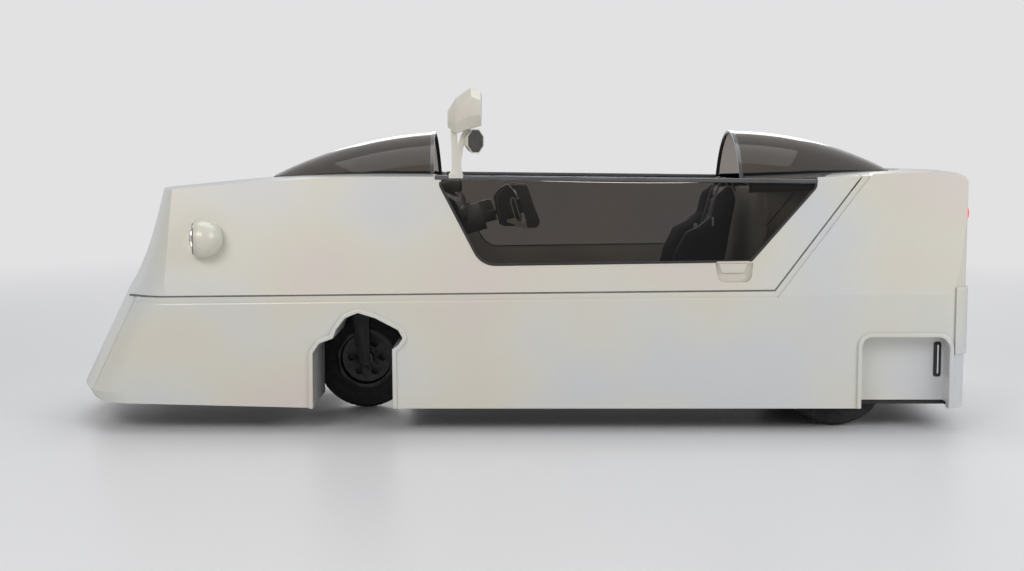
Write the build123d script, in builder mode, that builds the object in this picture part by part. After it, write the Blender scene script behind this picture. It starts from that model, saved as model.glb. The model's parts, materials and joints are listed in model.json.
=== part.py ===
"""Three wheeled car: an open single-seat body with a lift-up canopy, one steered wheel in front and two
wheels behind. Millimetres. +X runs from the nose to the tail, +Y to the car's right, +Z up, and the origin
is on the floor at the middle of the body's length and width."""

from build123d import *
from math import cos, radians, sin, sqrt, tan
import os

# ---------------------------------------------------------------- driving dimensions
TAIL_X = 1687.0
HALF_WIDTH = 530.0
SILL_Z = 86.0
WALL = 28.0
GAP = 6.0  # between the canopy and the body below it
LEDGE = 7.0  # the canopy's skin, and a band below the seam, stand this far inside the lower body's
BAND = 20.0  # height of that band
BAND_EDGE = 6.0  # radius along the band's lower edge
WAIST_Z = 505.0
SHOULDER_HALF = 472.0
CROWN = 12.0

# the nose in plan, by height: height, nose apex x, nose radius
NOSE_LOWER = [(SILL_Z, -1668.0, 950.0), (146.0, -1705.0, 950.0), (WAIST_Z, -1530.0, 950.0)]
NOSE_UPPER = [(WAIST_Z, -1530.0, 950.0), (640.0, -1460.0, 1000.0), (790.0, -1408.0, 1100.0),
              (1000.0, -1348.0, 1200.0)]
NOSE_CORNER_R = 180.0
TAIL_CORNER_R = 90.0
TAIL_R = 4000.0
TAIL_TOP_R = 38.0  # the deck rolls over into the tail
SILL_LINE = [(-650.0, SILL_Z), (-1720.0, SILL_Z + 26.0)]  # the sill rises ahead of the front arch
PLAN_MARGIN = 0.3  # the plan form is this much wider than the cross sections that trim it

# the body's top line: station x, height at the centre
TOP_LINE = [(-1771.0, 878.0), (-1346.0, 898.0), (-964.0, 934.0), (-296.0, 954.0), (1112.0, 952.0),
            (1484.0, 960.0), (1771.0, 946.0)]
SHOULDER_R = 52.0
WAIST_R = 900.0
UNDER_DECK = 880.0  # the decks lie wholly above this height

# the seam between canopy and lower body, as seen from the side
SEAM = [(-1900.0, 495.0), (943.0, 524.0), (1259.0, 930.0)]
MASK_HALF = 450.0  # the nose mask, part of the canopy, lies between these planes
MASK_BACK_X = -1350.0
DECK_SEAM = [(1262.0, 400.0), (1484.0, 0.0)]  # the seam across the rear deck, x and y
CANOPY_SPLIT = (-301.0, 855.0)  # the canopy's front, side and rear mouldings meet at these x
BODY_SPLIT_X = 960.0

# the side windows and the open cockpit
WINDOW = [(-298.0, 935.0), (-129.0, 614.0), (857.0, 628.0), (1131.0, 934.0)]
WINDOW_CORNER_R = (85.0, 26.0)
GLASS = 5.0
RAIL_Z = (933.0, 918.0)
RAIL_X = (-301.0, 1104.0)
RAIL_HALF = (459.0, 465.0)  # its distance from the middle plane at the ends and at mid length
RAIL_SECTION = (22.0, 17.0)
COCKPIT_HALF = 448.0

# domes: their cross sections are circles about a line at this height
DOME_AXIS_Z = 737.0
FRONT_DOME = [(-986.0, 922.0), (-649.0, 1052.0), (-296.0, 1104.0)]
FRONT_RIM = [(-326.0, 945.0), (-334.0, 1103.0)]
REAR_DOME = [(851.0, 1107.0), (1179.0, 1068.0), (1489.0, 950.0)]
REAR_RIM_X = 855.0
RIM = (14.0, 9.0)  # length along the dome and depth

# front wheel, its housing and the arch in the body's side
WHEEL_R = 200.0
TYRE_W = 100.0
RIM_R = 112.0
FRONT_WHEEL_X = -603.0
STEER_X = -633.0
HOUSING = (-833.0, -381.0, 190.0, 478.0)  # x, x, half width, top
ARCH = [(-750.0, 0.0), (-748.0, 292.0), (-723.0, 328.0), (-673.0, 346.0), (-662.0, 377.0),
        (-628.0, 421.0), (-581.0, 440.0), (-519.0, 421.0), (-435.0, 377.0), (-418.0, 347.0),
        (-434.0, 322.0), (-457.0, 306.0), (-455.0, 0.0)]
LIP = (16.0, 8.0)  # width and how far it stands out
SHEET = 8.0

# rear wheels and the recess in each rear corner
REAR_WHEEL_X = 1196.0
REAR_WHEEL_Y = 380.0
RECESS = (1266.0, 1586.0, 350.0)  # x, x, top
RECESS_CORNER_R = (34.0, 44.0)
RECESS_BACK = 460.0
ARCH_BOX = (974.0, 1417.0, 322.0, 438.0, 420.0)  # x, x, y, y, top of each rear wheel's housing

# floor, cabin and hinge
FLOOR_Z = (90.0, 112.0)
FLOOR_X = (-1445.0, 1640.0)
HINGE = (-1595.0, 150.0)
HINGE_Y = 200.0
HINGE_BEAM = ((-1440.0, -1404.0), (-430.0, 430.0), (FLOOR_Z[1], 240.0))
AXLE_R = 10.0
FIT = 0.06

os.makedirs("parts", exist_ok=True)


def keep(part, label):
    """Labels a finished piece and writes its STEP file."""
    part.label = label
    export_step(part, f"parts/{label}.step")


def on_side(part, side):
    """The piece itself for the left (-1), or its mirror image for the right (+1)."""
    return part if side < 0 else mirror(part, about=Plane.XZ)


def pair(part):
    """The left hand piece and its mirror image on the right, as one node of two solids."""
    return part + mirror(part, about=Plane.XZ)


def block(x, y, z):
    """A solid box between two x, two y and two z."""
    return Solid.make_box(x[1] - x[0], y[1] - y[0], z[1] - z[0], Plane(origin=(x[0], y[0], z[0])))


def outline(points, radii=None):
    """A closed polygon drawn in x and z in the plane y = 0, its corners rounded by radii, point by point."""
    ends, edges = [], []
    for i, point in enumerate(points):
        radius = radii[i] if radii else 0
        here = Vector(point[0], 0, point[1])
        last, following = (Vector(q[0], 0, q[1]) for q in (points[i - 1], points[(i + 1) % len(points)]))
        to_last, to_next = (last - here).normalized(), (following - here).normalized()
        half = radians(to_last.get_angle(to_next)) / 2
        back = radius / tan(half)
        middle = here + (to_last + to_next).normalized() * (radius / sin(half) - radius)
        ends.append((here + to_last * back, middle, here + to_next * back))
    for i, (start, middle, end) in enumerate(ends):
        if radii and radii[i]:
            edges.append(Edge.make_three_point_arc(start, middle, end))
        edges.append(Edge.make_line(end, ends[(i + 1) % len(ends)][0]))
    return Wire(edges)


def side_prism(points, y, radii=None, grow=0.0):
    """A polygon drawn in x and z, grown outwards by grow, extruded between two y."""
    wire = outline(points, radii)
    if grow:
        wire = wire.offset_2d(grow, Kind.ARC)
    return Solid.extrude(Pos(0, y[0], 0) * Face(wire), Vector(0, y[1] - y[0], 0))


# ---------------------------------------------------------------- the body's outer form
def plan_section(height, nose_x, nose_r, inset):
    """The body in plan at one height."""
    half = HALF_WIDTH + PLAN_MARGIN - inset
    front_x = nose_x + inset
    front_r = nose_r - inset
    tail_x = TAIL_X - inset
    corner_x = front_x + front_r - sqrt(front_r**2 - half**2)
    tail_corner_x = tail_x - TAIL_R + sqrt(TAIL_R**2 - half**2)
    with BuildSketch(Plane.XY.offset(height)) as section:
        with BuildLine():
            ThreePointArc((corner_x, -half), (front_x, 0), (corner_x, half))
            Line((corner_x, half), (tail_corner_x, half))
            ThreePointArc((tail_corner_x, half), (tail_x, 0), (tail_corner_x, -half))
            Line((tail_corner_x, -half), (corner_x, -half))
        make_face()
        fillet(section.vertices().group_by(Axis.X)[0], radius=NOSE_CORNER_R - inset)
        fillet(section.vertices().group_by(Axis.X)[-1], radius=TAIL_CORNER_R - inset)
    return section.sketch.face()


def cross_section(station, top, inset, floor):
    """The body across, at one station along its length."""
    half = HALF_WIDTH - inset
    shoulder = SHOULDER_HALF - inset
    top_z = top - inset
    with BuildSketch(Plane(origin=(station, 0, 0), x_dir=(0, 1, 0), z_dir=(1, 0, 0))) as section:
        with BuildLine():
            Polyline((-shoulder, top_z - CROWN), (-half, WAIST_Z), (-half, floor), (half, floor),
                     (half, WAIST_Z), (shoulder, top_z - CROWN))
            ThreePointArc((shoulder, top_z - CROWN), (0, top_z), (-shoulder, top_z - CROWN))
        make_face()
        shoulders = [v for v in section.vertices() if v.Z > WAIST_Z + 100]
        fillet(shoulders, radius=SHOULDER_R - inset)
        waist = [v for v in section.vertices() if abs(v.Z - WAIST_Z) < 0.01]
        fillet(waist, radius=WAIST_R)
    return section.sketch.face()


def body_form(inset, floor=SILL_Z):
    """The whole body as one solid, with its skin moved in by inset."""
    with BuildPart() as form:
        lower = NOSE_LOWER if floor >= SILL_Z else [(floor, *NOSE_LOWER[0][1:]), *NOSE_LOWER]
        loft([plan_section(*row, inset) for row in lower], ruled=True)
        loft([plan_section(*row, inset) for row in NOSE_UPPER])
        with BuildPart(mode=Mode.INTERSECT):
            loft([cross_section(x, z, inset, floor - 2) for x, z in TOP_LINE])
        if inset < WALL:
            tail_top = form.edges().filter_by(lambda edge: edge.center().X > TAIL_X - TAIL_CORNER_R and
                                              edge.center().Z > UNDER_DECK)
            fillet(tail_top, radius=TAIL_TOP_R - inset)
        if floor >= SILL_Z:
            add(side_prism([*SILL_LINE, (SILL_LINE[1][0], SILL_Z - 9), (SILL_LINE[0][0], SILL_Z - 9)],
                           (-700, 700)), mode=Mode.SUBTRACT)
    return form.part


def canopy_zone(grow):
    """All that lifts with the canopy: above the seam, in front of the deck seam, and the nose mask."""
    seam = [(x + grow / 2, z - grow) for x, z in SEAM]
    slope = (SEAM[2][0] - SEAM[1][0]) / (SEAM[2][1] - SEAM[1][1])
    seam.append((seam[2][0] + slope * 300, seam[2][1] + 300))
    above = side_prism(seam + [(-1900, seam[3][1])], (-700, 700))
    half = DECK_SEAM[0][1] + grow
    with BuildPart() as deck:
        with BuildSketch(Plane.XY.offset(UNDER_DECK)):
            with BuildLine():
                ThreePointArc((DECK_SEAM[0][0] + grow, -half), (DECK_SEAM[1][0] + grow, 0),
                              (DECK_SEAM[0][0] + grow, half))
                Polyline((DECK_SEAM[0][0] + grow, half), (0, half), (0, -half),
                         (DECK_SEAM[0][0] + grow, -half))
            make_face()
        extrude(amount=320)
    mask = block((-1900, MASK_BACK_X), (-MASK_HALF - grow, MASK_HALF + grow), (0, 600))
    return above + deck.part + mask


outer = body_form(0)
canopy_outer = body_form(LEDGE)
inner = body_form(WALL, floor=40)


def on_band_edge(edge):
    """Whether an edge runs along the outside of the band's lower edge, and not across or inside the wall."""
    x, y, z = edge.center()
    line = [(point_x + (GAP + BAND) / 2, point_z - GAP - BAND) for point_x, point_z in SEAM]
    heights = [z0 + (z1 - z0) * (x - x0) / (x1 - x0) for (x0, z0), (x1, z1) in zip(line, line[1:])
               if x0 - 5 <= x <= x1 + 5]
    long_outer = abs(y) > HALF_WIDTH - WALL + 2 and edge.length > 50.0 and edge.geom_type == GeomType.BSPLINE
    return long_outer and any(abs(z - h) < 1.5 for h in heights)


with BuildPart() as lower_form:
    add(outer)
    add(inner, mode=Mode.SUBTRACT)
    add(canopy_zone(GAP + BAND), mode=Mode.SUBTRACT)
    fillet(lower_form.edges().filter_by(on_band_edge), radius=BAND_EDGE)
lower_shell = lower_form.part
band_shell = ((canopy_outer - inner) & canopy_zone(GAP + BAND)) - canopy_zone(GAP)
canopy_skin = (canopy_outer - inner) & canopy_zone(0)
FAR = 2500.0


RECESS_OUTLINE = [(RECESS[0], -50.0), (RECESS[0], RECESS[2]), (RECESS[1], RECESS[2]), (RECESS[1], -50.0)]
RECESS_RADII = [0, *RECESS_CORNER_R, 0]
WINDOW_RADII = [WINDOW_CORNER_R[1], *WINDOW_CORNER_R, WINDOW_CORNER_R[1]]
ABOVE_SILL = block((-FAR, FAR), (-700, 700), (SILL_Z, 1500))


# ---------------------------------------------------------------- domes
def dome_form(points, grow):
    """The dome's round form, its profile moved outwards by grow."""
    lead = 1 if points[0][1] < points[2][1] else -1
    moved = [(x - lead * grow * share, z + grow) for (x, z), share in zip(points, (1, 0.35, 0))]
    if lead < 0:
        moved = [(x + grow * share, z + grow) for (x, z), share in zip(points, (0, 0.35, 1))]
    with BuildPart() as form:
        with BuildSketch(Plane.XZ):
            with BuildLine():
                ThreePointArc(*moved)
                Polyline(moved[2], (moved[2][0], DOME_AXIS_Z), (moved[0][0], DOME_AXIS_Z), moved[0])
            make_face()
        revolve(axis=Axis((0, 0, DOME_AXIS_Z), (1, 0, 0)))
    return form.part


def rim_x(z):
    """The front dome's rim leans forward as it rises."""
    return FRONT_RIM[0][0] + (z - FRONT_RIM[0][1]) * (
        FRONT_RIM[1][0] - FRONT_RIM[0][0]) / (FRONT_RIM[1][1] - FRONT_RIM[0][1])


FRONT_TIP_X, REAR_TIP_X = -957.0, 1466.0
front_glass_zone = side_prism([(FRONT_TIP_X, UNDER_DECK), (rim_x(UNDER_DECK), UNDER_DECK),
                               (rim_x(1250), 1250), (FRONT_TIP_X, 1250)], (-700, 700))
front_rim_zone = side_prism([(rim_x(UNDER_DECK), UNDER_DECK), (rim_x(UNDER_DECK) + RIM[0], UNDER_DECK),
                             (rim_x(1250) + RIM[0], 1250), (rim_x(1250), 1250)], (-700, 700))
rear_glass_zone = block((REAR_RIM_X, REAR_TIP_X), (-700, 700), (UNDER_DECK, 1250))
rear_rim_zone = block((REAR_RIM_X - RIM[0], REAR_RIM_X), (-700, 700), (UNDER_DECK, 1250))
front_long = [FRONT_DOME[0], FRONT_DOME[1], (FRONT_DOME[2][0] + 40, FRONT_DOME[2][1] + 2)]
rear_long = [(REAR_DOME[0][0] - 40, REAR_DOME[0][1] + 1), REAR_DOME[1], REAR_DOME[2]]
front_solid, rear_solid = dome_form(front_long, 0.2), dome_form(rear_long, 0.2)

for name, points, zone in (("front_dome", front_long, front_glass_zone),
                           ("rear_dome", rear_long, rear_glass_zone)):
    with BuildPart() as dome:
        add(dome_form(points, 0))
        add(dome_form(points, -GLASS), mode=Mode.SUBTRACT)
        add(zone, mode=Mode.INTERSECT)
        add(inner, mode=Mode.SUBTRACT)
    keep(dome.part, name)

rims = {}
for name, points, zone in (("front_dome_rim", front_long, front_rim_zone),
                           ("rear_dome_rim", rear_long, rear_rim_zone)):
    with BuildPart() as rim:
        add(dome_form(points, 3))
        add(dome_form(points, 3 - RIM[1]), mode=Mode.SUBTRACT)
        add(zone, mode=Mode.INTERSECT)
        add(block((-FAR, FAR), (-FAR, FAR), (918, FAR)), mode=Mode.INTERSECT)
    rims[name] = rim.part
    keep(rim.part, name)

# ---------------------------------------------------------------- headlamps
LAMP = (-1141.0, -526.0, 711.0)
LAMP_R = 70.0
LAMP_TURN = 12.0
LAMP_FRONT = 36.0  # the ring stands this far ahead of the pod's centre
LAMP_RING_R = (58.0, 50.0)
LAMP_DEPTH = 34.0
LENS_RISE = 17.0
LAMP_GAP = 4.0  # between the ring and lens and the body round them
lamp_dir = (-cos(radians(LAMP_TURN)), -sin(radians(LAMP_TURN)), 0)
lamp_plane = Plane(origin=LAMP, x_dir=(0, 0, 1), z_dir=lamp_dir)
lens_r = (LAMP_RING_R[1]**2 + LENS_RISE**2) / (2 * LENS_RISE)
with BuildPart() as lamp_space:
    with BuildPart(lamp_plane.offset(LAMP_FRONT + LENS_RISE - lens_r)):
        Sphere(lens_r + LAMP_GAP)
    with BuildPart(mode=Mode.INTERSECT):
        with BuildSketch(lamp_plane):
            Circle(LAMP_RING_R[0] + LAMP_GAP)
        extrude(amount=150)
    with BuildSketch(lamp_plane):
        Circle(LAMP_RING_R[0] + LAMP_GAP)
    extrude(amount=LAMP_FRONT + 3 + LAMP_GAP)
    with BuildPart(lamp_plane):
        Sphere(LAMP_R)
with BuildPart() as lamp_pod:
    with BuildPart(lamp_plane):
        Sphere(LAMP_R)
    with BuildSketch(lamp_plane.offset(LAMP_FRONT)):
        Circle(LAMP_R)
    extrude(amount=60, mode=Mode.SUBTRACT)
    with BuildSketch(lamp_plane.offset(LAMP_FRONT - LAMP_DEPTH)):
        Circle(LAMP_RING_R[0])
    extrude(amount=60, mode=Mode.SUBTRACT)
with BuildPart() as lamp_ring:
    with BuildSketch(lamp_plane.offset(LAMP_FRONT - LAMP_DEPTH)):
        Circle(LAMP_RING_R[0])
        Circle(LAMP_RING_R[1], mode=Mode.SUBTRACT)
    extrude(amount=LAMP_DEPTH + 3)
with BuildPart() as lamp_lens:
    with BuildPart(lamp_plane.offset(LAMP_FRONT + LENS_RISE - lens_r)):
        Sphere(lens_r)
    with BuildPart(lamp_plane.offset(LAMP_FRONT + LENS_RISE - lens_r), mode=Mode.SUBTRACT):
        Sphere(lens_r - 4)
    with BuildPart(mode=Mode.INTERSECT):
        with BuildSketch(lamp_plane.offset(LAMP_FRONT - 3)):
            Circle(LAMP_RING_R[1])
        extrude(amount=LENS_RISE + 10)
keep(pair(lamp_pod.part), "lamp_pods")
keep(pair(lamp_ring.part), "lamp_rings")
keep(pair(lamp_lens.part), "lamp_lenses")

# ---------------------------------------------------------------- canopy mouldings
RAIL_LOW = RAIL_SECTION[1] / 2
rail_zone = side_prism([(RAIL_X[0], RAIL_Z[0] - RAIL_LOW - 0.4), (RAIL_X[1], RAIL_Z[1] - RAIL_LOW - 0.4),
                        (RAIL_X[1], 1300), (RAIL_X[0], 1300)], (-700, -COCKPIT_HALF))
window_zone = side_prism(WINDOW, (-700, -438), WINDOW_RADII)
PULL = [(727.0, 621.0), (737.0, 551.0), (857.0, 551.0), (866.0, 621.0)]
PULL_Y = -496.0
pull_zone = side_prism(PULL, (-700, PULL_Y), [2, 26, 26, 2])
SIDE_END_X = 900.0

with BuildPart() as canopy_front:
    add(canopy_skin)
    add(block((-FAR, CANOPY_SPLIT[0]), (-FAR, FAR), (0, FAR)), mode=Mode.INTERSECT)
    add(front_solid & block((FRONT_TIP_X, 0), (-700, 700), (UNDER_DECK, 1200)), mode=Mode.SUBTRACT)
    add(rims["front_dome_rim"], mode=Mode.SUBTRACT)
    for side in (-1, 1):
        add(on_side(lamp_space.part, side), mode=Mode.SUBTRACT)
keep(canopy_front.part, "canopy_front")

for side, hand in ((-1, "left"), (1, "right")):
    with BuildPart() as canopy_side:
        add(canopy_skin & block((CANOPY_SPLIT[0], SIDE_END_X), (-700, -COCKPIT_HALF), (0, 1500)))
        add(window_zone, mode=Mode.SUBTRACT)
        add(rail_zone, mode=Mode.SUBTRACT)
        add(pull_zone, mode=Mode.SUBTRACT)
    keep(on_side(canopy_side.part, side), f"canopy_side_{hand}")

DECK_PANEL = [(0.0, -448.0), (1131.0, -448.0), (1215.0, -230.0), (1215.0, 230.0), (1131.0, 448.0),
              (0.0, 448.0)]
with BuildPart() as deck_zone:
    with BuildSketch(Plane.XY.offset(860)):
        with BuildLine():
            Polyline(*DECK_PANEL, close=True)
        make_face()
    extrude(amount=300)
with BuildPart() as deck_panels:
    add(canopy_skin & block((CANOPY_SPLIT[1], FAR), (-FAR, FAR), (0, FAR)))
    add(deck_zone.part, mode=Mode.INTERSECT)
    add(rear_solid, mode=Mode.SUBTRACT)
keep(deck_panels.part, "deck_panels")

with BuildPart() as canopy_rear:
    add(canopy_skin & block((CANOPY_SPLIT[1], FAR), (-FAR, FAR), (0, FAR)))
    add(deck_zone.part, mode=Mode.SUBTRACT)
    for side in (-1, 1):
        add(on_side(block((0, SIDE_END_X), (-700, -COCKPIT_HALF), (0, 1500)), side), mode=Mode.SUBTRACT)
        add(on_side(window_zone, side), mode=Mode.SUBTRACT)
        add(on_side(rail_zone, side), mode=Mode.SUBTRACT)
    add(rear_solid & block((0, REAR_TIP_X), (-700, 700), (UNDER_DECK, 1200)), mode=Mode.SUBTRACT)
keep(canopy_rear.part, "canopy_rear")

# side glass and the rail along its top
glass_skin = body_form(LEDGE + 3) - body_form(LEDGE + 3 + GLASS)
with BuildPart() as window:
    add(glass_skin & side_prism(WINDOW, (-700, -440), WINDOW_RADII, -0.2))
    add(side_prism([(RAIL_X[0] - 40, RAIL_Z[0] - RAIL_LOW), (RAIL_X[1], RAIL_Z[1] - RAIL_LOW),
                    (RAIL_X[1], 1300), (RAIL_X[0] - 40, 1300)], (-700, -400)), mode=Mode.SUBTRACT)
with BuildPart() as rail:
    with BuildLine() as rail_line:
        ThreePointArc((RAIL_X[0], -RAIL_HALF[0], RAIL_Z[0]),
                      (sum(RAIL_X) / 2, -RAIL_HALF[1], sum(RAIL_Z) / 2),
                      (RAIL_X[1], -RAIL_HALF[0], RAIL_Z[1]))
    with BuildSketch(Plane(origin=rail_line.line @ 0, x_dir=(0, 1, 0), z_dir=rail_line.line % 0)):
        RectangleRounded(RAIL_SECTION[0], RAIL_SECTION[1], 5)
    sweep()
    add(block((RAIL_X[0] + 0.5, RAIL_X[1] - 0.5), (-700, 0), (0, 1200)), mode=Mode.INTERSECT)
with BuildPart() as door_pull:
    add(side_prism([(737.0, 620.0), (751.0, 584.0), (832.0, 584.0), (846.0, 620.0)],
                   (PULL_Y - 10, PULL_Y), [2, 8, 8, 2]))
keep(pair(window.part), "side_windows")
keep(pair(rail.part), "window_rails")
keep(pair(door_pull.part), "door_pulls")

# ---------------------------------------------------------------- lower body
for side, hand in ((-1, "left"), (1, "right")):
    with BuildPart() as body_side:
        add(lower_shell)
        add(band_shell)
        add(block((-FAR, BODY_SPLIT_X), (-700, -100), (0, FAR)), mode=Mode.INTERSECT)
        add(side_prism(ARCH, (-700, -300)), mode=Mode.SUBTRACT)
    keep(on_side(body_side.part, side), f"body_side_{hand}")

TOW = (250.0, 200.0, 18.0, 8.0)  # y, z, boss radius, bore radius
with BuildPart() as tow_socket:
    with Locations(Location((1612, TOW[0], TOW[1]), (0, 90, 0))):
        Cylinder(TOW[2], 64, align=(Align.CENTER, Align.CENTER, Align.MIN))
        Cylinder(TOW[3], 200, mode=Mode.SUBTRACT)
keep(tow_socket.part, "tow_socket")

with BuildPart() as rear_body:
    add(lower_shell)
    add(band_shell)
    add(block((BODY_SPLIT_X, FAR), (-700, 700), (0, FAR)), mode=Mode.INTERSECT)
    with Locations(Location((1612, TOW[0], TOW[1]), (0, 90, 0))):
        Cylinder(TOW[2] + 0.1, 200, mode=Mode.SUBTRACT)
    for side in (-1, 1):
        add(on_side(side_prism(RECESS_OUTLINE, (-700, -RECESS_BACK), RECESS_RADII), side),
            mode=Mode.SUBTRACT)
keep(rear_body.part, "rear_body")

BUMPER = (1606.0, 285.0, 534.0, 9.0)
with BuildPart() as rear_bumper:
    add(body_form(-BUMPER[3]))
    add(outer, mode=Mode.SUBTRACT)
    add(block((BUMPER[0], FAR), (-700, 700), (BUMPER[1], BUMPER[2])), mode=Mode.INTERSECT)
keep(rear_bumper.part, "rear_bumper")

for name, points, radii in (("arch_lips", ARCH, None), ("recess_lips", RECESS_OUTLINE, RECESS_RADII)):
    with BuildPart() as lip:
        add(side_prism(points, (-HALF_WIDTH - LIP[1], -HALF_WIDTH), radii, LIP[0]))
        add(side_prism(points, (-700, -300), radii), mode=Mode.SUBTRACT)
        add(ABOVE_SILL, mode=Mode.INTERSECT)
    keep(pair(lip.part), name)
with BuildPart() as arch_liner:
    add(side_prism(ARCH, (-HALF_WIDTH + WALL, -HOUSING[2] - SHEET), None, SHEET))
    add(side_prism(ARCH, (-700, 0)), mode=Mode.SUBTRACT)
    add(block((-FAR, FAR), (-700, 0), (FLOOR_Z[0], FAR)), mode=Mode.INTERSECT)
keep(pair(arch_liner.part), "arch_liners")
with BuildPart() as recess_panel:
    add(side_prism(RECESS_OUTLINE, (-HALF_WIDTH + WALL, -RECESS_BACK + SHEET), RECESS_RADII, SHEET))
    add(side_prism(RECESS_OUTLINE, (-700, -RECESS_BACK), RECESS_RADII), mode=Mode.SUBTRACT)
    add(block((-FAR, FAR), (-700, 0), (107, FAR)), mode=Mode.INTERSECT)
    add(inner, mode=Mode.INTERSECT)
keep(pair(recess_panel.part), "recess_panels")
with BuildPart() as wheel_box:
    add(block((ARCH_BOX[0] - SHEET, ARCH_BOX[1] + SHEET), (-ARCH_BOX[3] - SHEET, -ARCH_BOX[2] + SHEET),
              (FLOOR_Z[0], ARCH_BOX[4] + SHEET)))
    add(block(ARCH_BOX[:2], (-ARCH_BOX[3], -ARCH_BOX[2]), (0, ARCH_BOX[4])), mode=Mode.SUBTRACT)
    with Locations(Location((REAR_WHEEL_X, -ARCH_BOX[2] + SHEET / 2, WHEEL_R), (90, 0, 0))):
        Cylinder(34, SHEET + 4, mode=Mode.SUBTRACT)
keep(pair(wheel_box.part), "wheel_boxes")

with BuildPart() as wheel_housing:
    add(block((HOUSING[0] - SHEET, HOUSING[1] + SHEET), (-HOUSING[2] - SHEET, HOUSING[2] + SHEET),
              (FLOOR_Z[0], HOUSING[3] + SHEET)))
    add(block(HOUSING[:2], (-HOUSING[2], HOUSING[2]), (0, HOUSING[3])), mode=Mode.SUBTRACT)
    add(side_prism(ARCH, (-700, 700)), mode=Mode.SUBTRACT)
    with Locations((STEER_X, 0, HOUSING[3])):
        Cylinder(22, 40, mode=Mode.SUBTRACT)
keep(wheel_housing.part, "wheel_housing")

with BuildPart() as floor_pan:
    add(inner)
    add(block(FLOOR_X, (-700, 700), FLOOR_Z), mode=Mode.INTERSECT)
    add(block((HOUSING[0] - SHEET, HOUSING[1] + SHEET), (-HOUSING[2] - SHEET, HOUSING[2] + SHEET),
              (0, 300)), mode=Mode.SUBTRACT)
    add(side_prism(ARCH, (-700, 700), None, SHEET), mode=Mode.SUBTRACT)
    add(side_prism([*((x, z + 4) for x, z in SILL_LINE), (SILL_LINE[1][0], 0), (SILL_LINE[0][0], 0)],
                   (-700, 700)), mode=Mode.SUBTRACT)
    for side in (-1, 1):
        add(on_side(block((ARCH_BOX[0] - SHEET, ARCH_BOX[1] + SHEET),
                          (-ARCH_BOX[3] - SHEET, -ARCH_BOX[2] + SHEET), (0, 300)), side),
            mode=Mode.SUBTRACT)
        add(on_side(side_prism(RECESS_OUTLINE, (-700, -RECESS_BACK + SHEET), RECESS_RADII, SHEET),
                    side), mode=Mode.SUBTRACT)
keep(floor_pan.part, "floor_pan")

# blocks the car is jacked up on
JACK = [(-1100.0, 440.0), (700.0, 440.0)]
with BuildPart() as jack_pads:
    for x, y in JACK:
        for side in (-1, 1):
            with Locations((x, side * y, FLOOR_Z[0] - 6)):
                Box(90, 50, 20, align=(Align.CENTER, Align.CENTER, Align.MIN))
    add(floor_pan.part, mode=Mode.SUBTRACT)
    add(block((-FAR, FAR), (-FAR, FAR), (0, FLOOR_Z[0] + 13)), mode=Mode.INTERSECT)
keep(jack_pads.part, "jack_pads")

# ---------------------------------------------------------------- canopy hinge
with BuildPart() as hinge_bracket:
    add(block(*HINGE_BEAM))
    for side in (-1, 1):
        with BuildSketch(Plane(origin=(0, side * HINGE_Y, 0), x_dir=(1, 0, 0), z_dir=(0, -1, 0))):
            with Locations(HINGE):
                Circle(18)
            with Locations((-1515, 155)):
                Rectangle(160, 30)
        extrude(amount=10, both=True)
        with Locations(Location((HINGE[0], side * HINGE_Y, HINGE[1]), (90, 0, 0))):
            Cylinder(AXLE_R, 76)
keep(hinge_bracket.part, "hinge_bracket")

with BuildPart() as hinge_lugs:
    for side in (-1, 1):
        for shift in (-25, 25):
            with BuildSketch(Plane(origin=(0, side * HINGE_Y + shift, 0), x_dir=(1, 0, 0),
                                   z_dir=(0, -1, 0))):
                with Locations(HINGE):
                    Circle(22)
                with Locations((-1635, 150)):
                    Rectangle(80, 44)
            extrude(amount=9, both=True)
    add(inner, mode=Mode.INTERSECT)
    for side in (-1, 1):
        with Locations(Location((HINGE[0], side * HINGE_Y, HINGE[1]), (90, 0, 0))):
            Cylinder(AXLE_R + FIT, 90, mode=Mode.SUBTRACT)
keep(hinge_lugs.part, "hinge_lugs")

# ---------------------------------------------------------------- wheels
with BuildPart() as tyre:
    with BuildSketch(Plane.XY):
        with BuildLine():
            Polyline((RIM_R, -38), (130, -38))
            ThreePointArc((130, -38), (160, -50), (184, -44))
            ThreePointArc((184, -44), (194, -38), (199, -28))
            ThreePointArc((199, -28), (WHEEL_R, 0), (199, 28))
            ThreePointArc((199, 28), (194, 38), (184, 44))
            ThreePointArc((184, 44), (160, 50), (130, 38))
            Polyline((130, 38), (RIM_R, 38), (RIM_R, -38))
        make_face()
    revolve(axis=Axis.Y)
with BuildPart() as wheel_rim:
    with BuildSketch(Plane.XY):
        with BuildLine():
            Polyline((AXLE_R + FIT, -40), (30, -40), (30, -8), (98, -6), (104, -44), (120, -44), (120, -39),
                     (RIM_R, -38), (RIM_R, 38), (120, 39), (120, 44), (104, 44), (98, 6), (30, 8),
                     (30, 40), (AXLE_R + FIT, 40), close=True)
        make_face()
    revolve(axis=Axis.Y)
    for turn in range(6):
        with Locations(Rot(0, 60 * turn, 0) * Location((64, 0, 0), (90, 0, 0))):
            Cylinder(14, 40, mode=Mode.SUBTRACT)
for name, x, y in (("front", FRONT_WHEEL_X, 0.0), ("rear_left", REAR_WHEEL_X, -REAR_WHEEL_Y),
                   ("rear_right", REAR_WHEEL_X, REAR_WHEEL_Y)):
    keep(Pos(x, y, WHEEL_R) * tyre.part, f"tyre_{name}")
    keep(Pos(x, y, WHEEL_R) * wheel_rim.part, f"rim_{name}")

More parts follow.
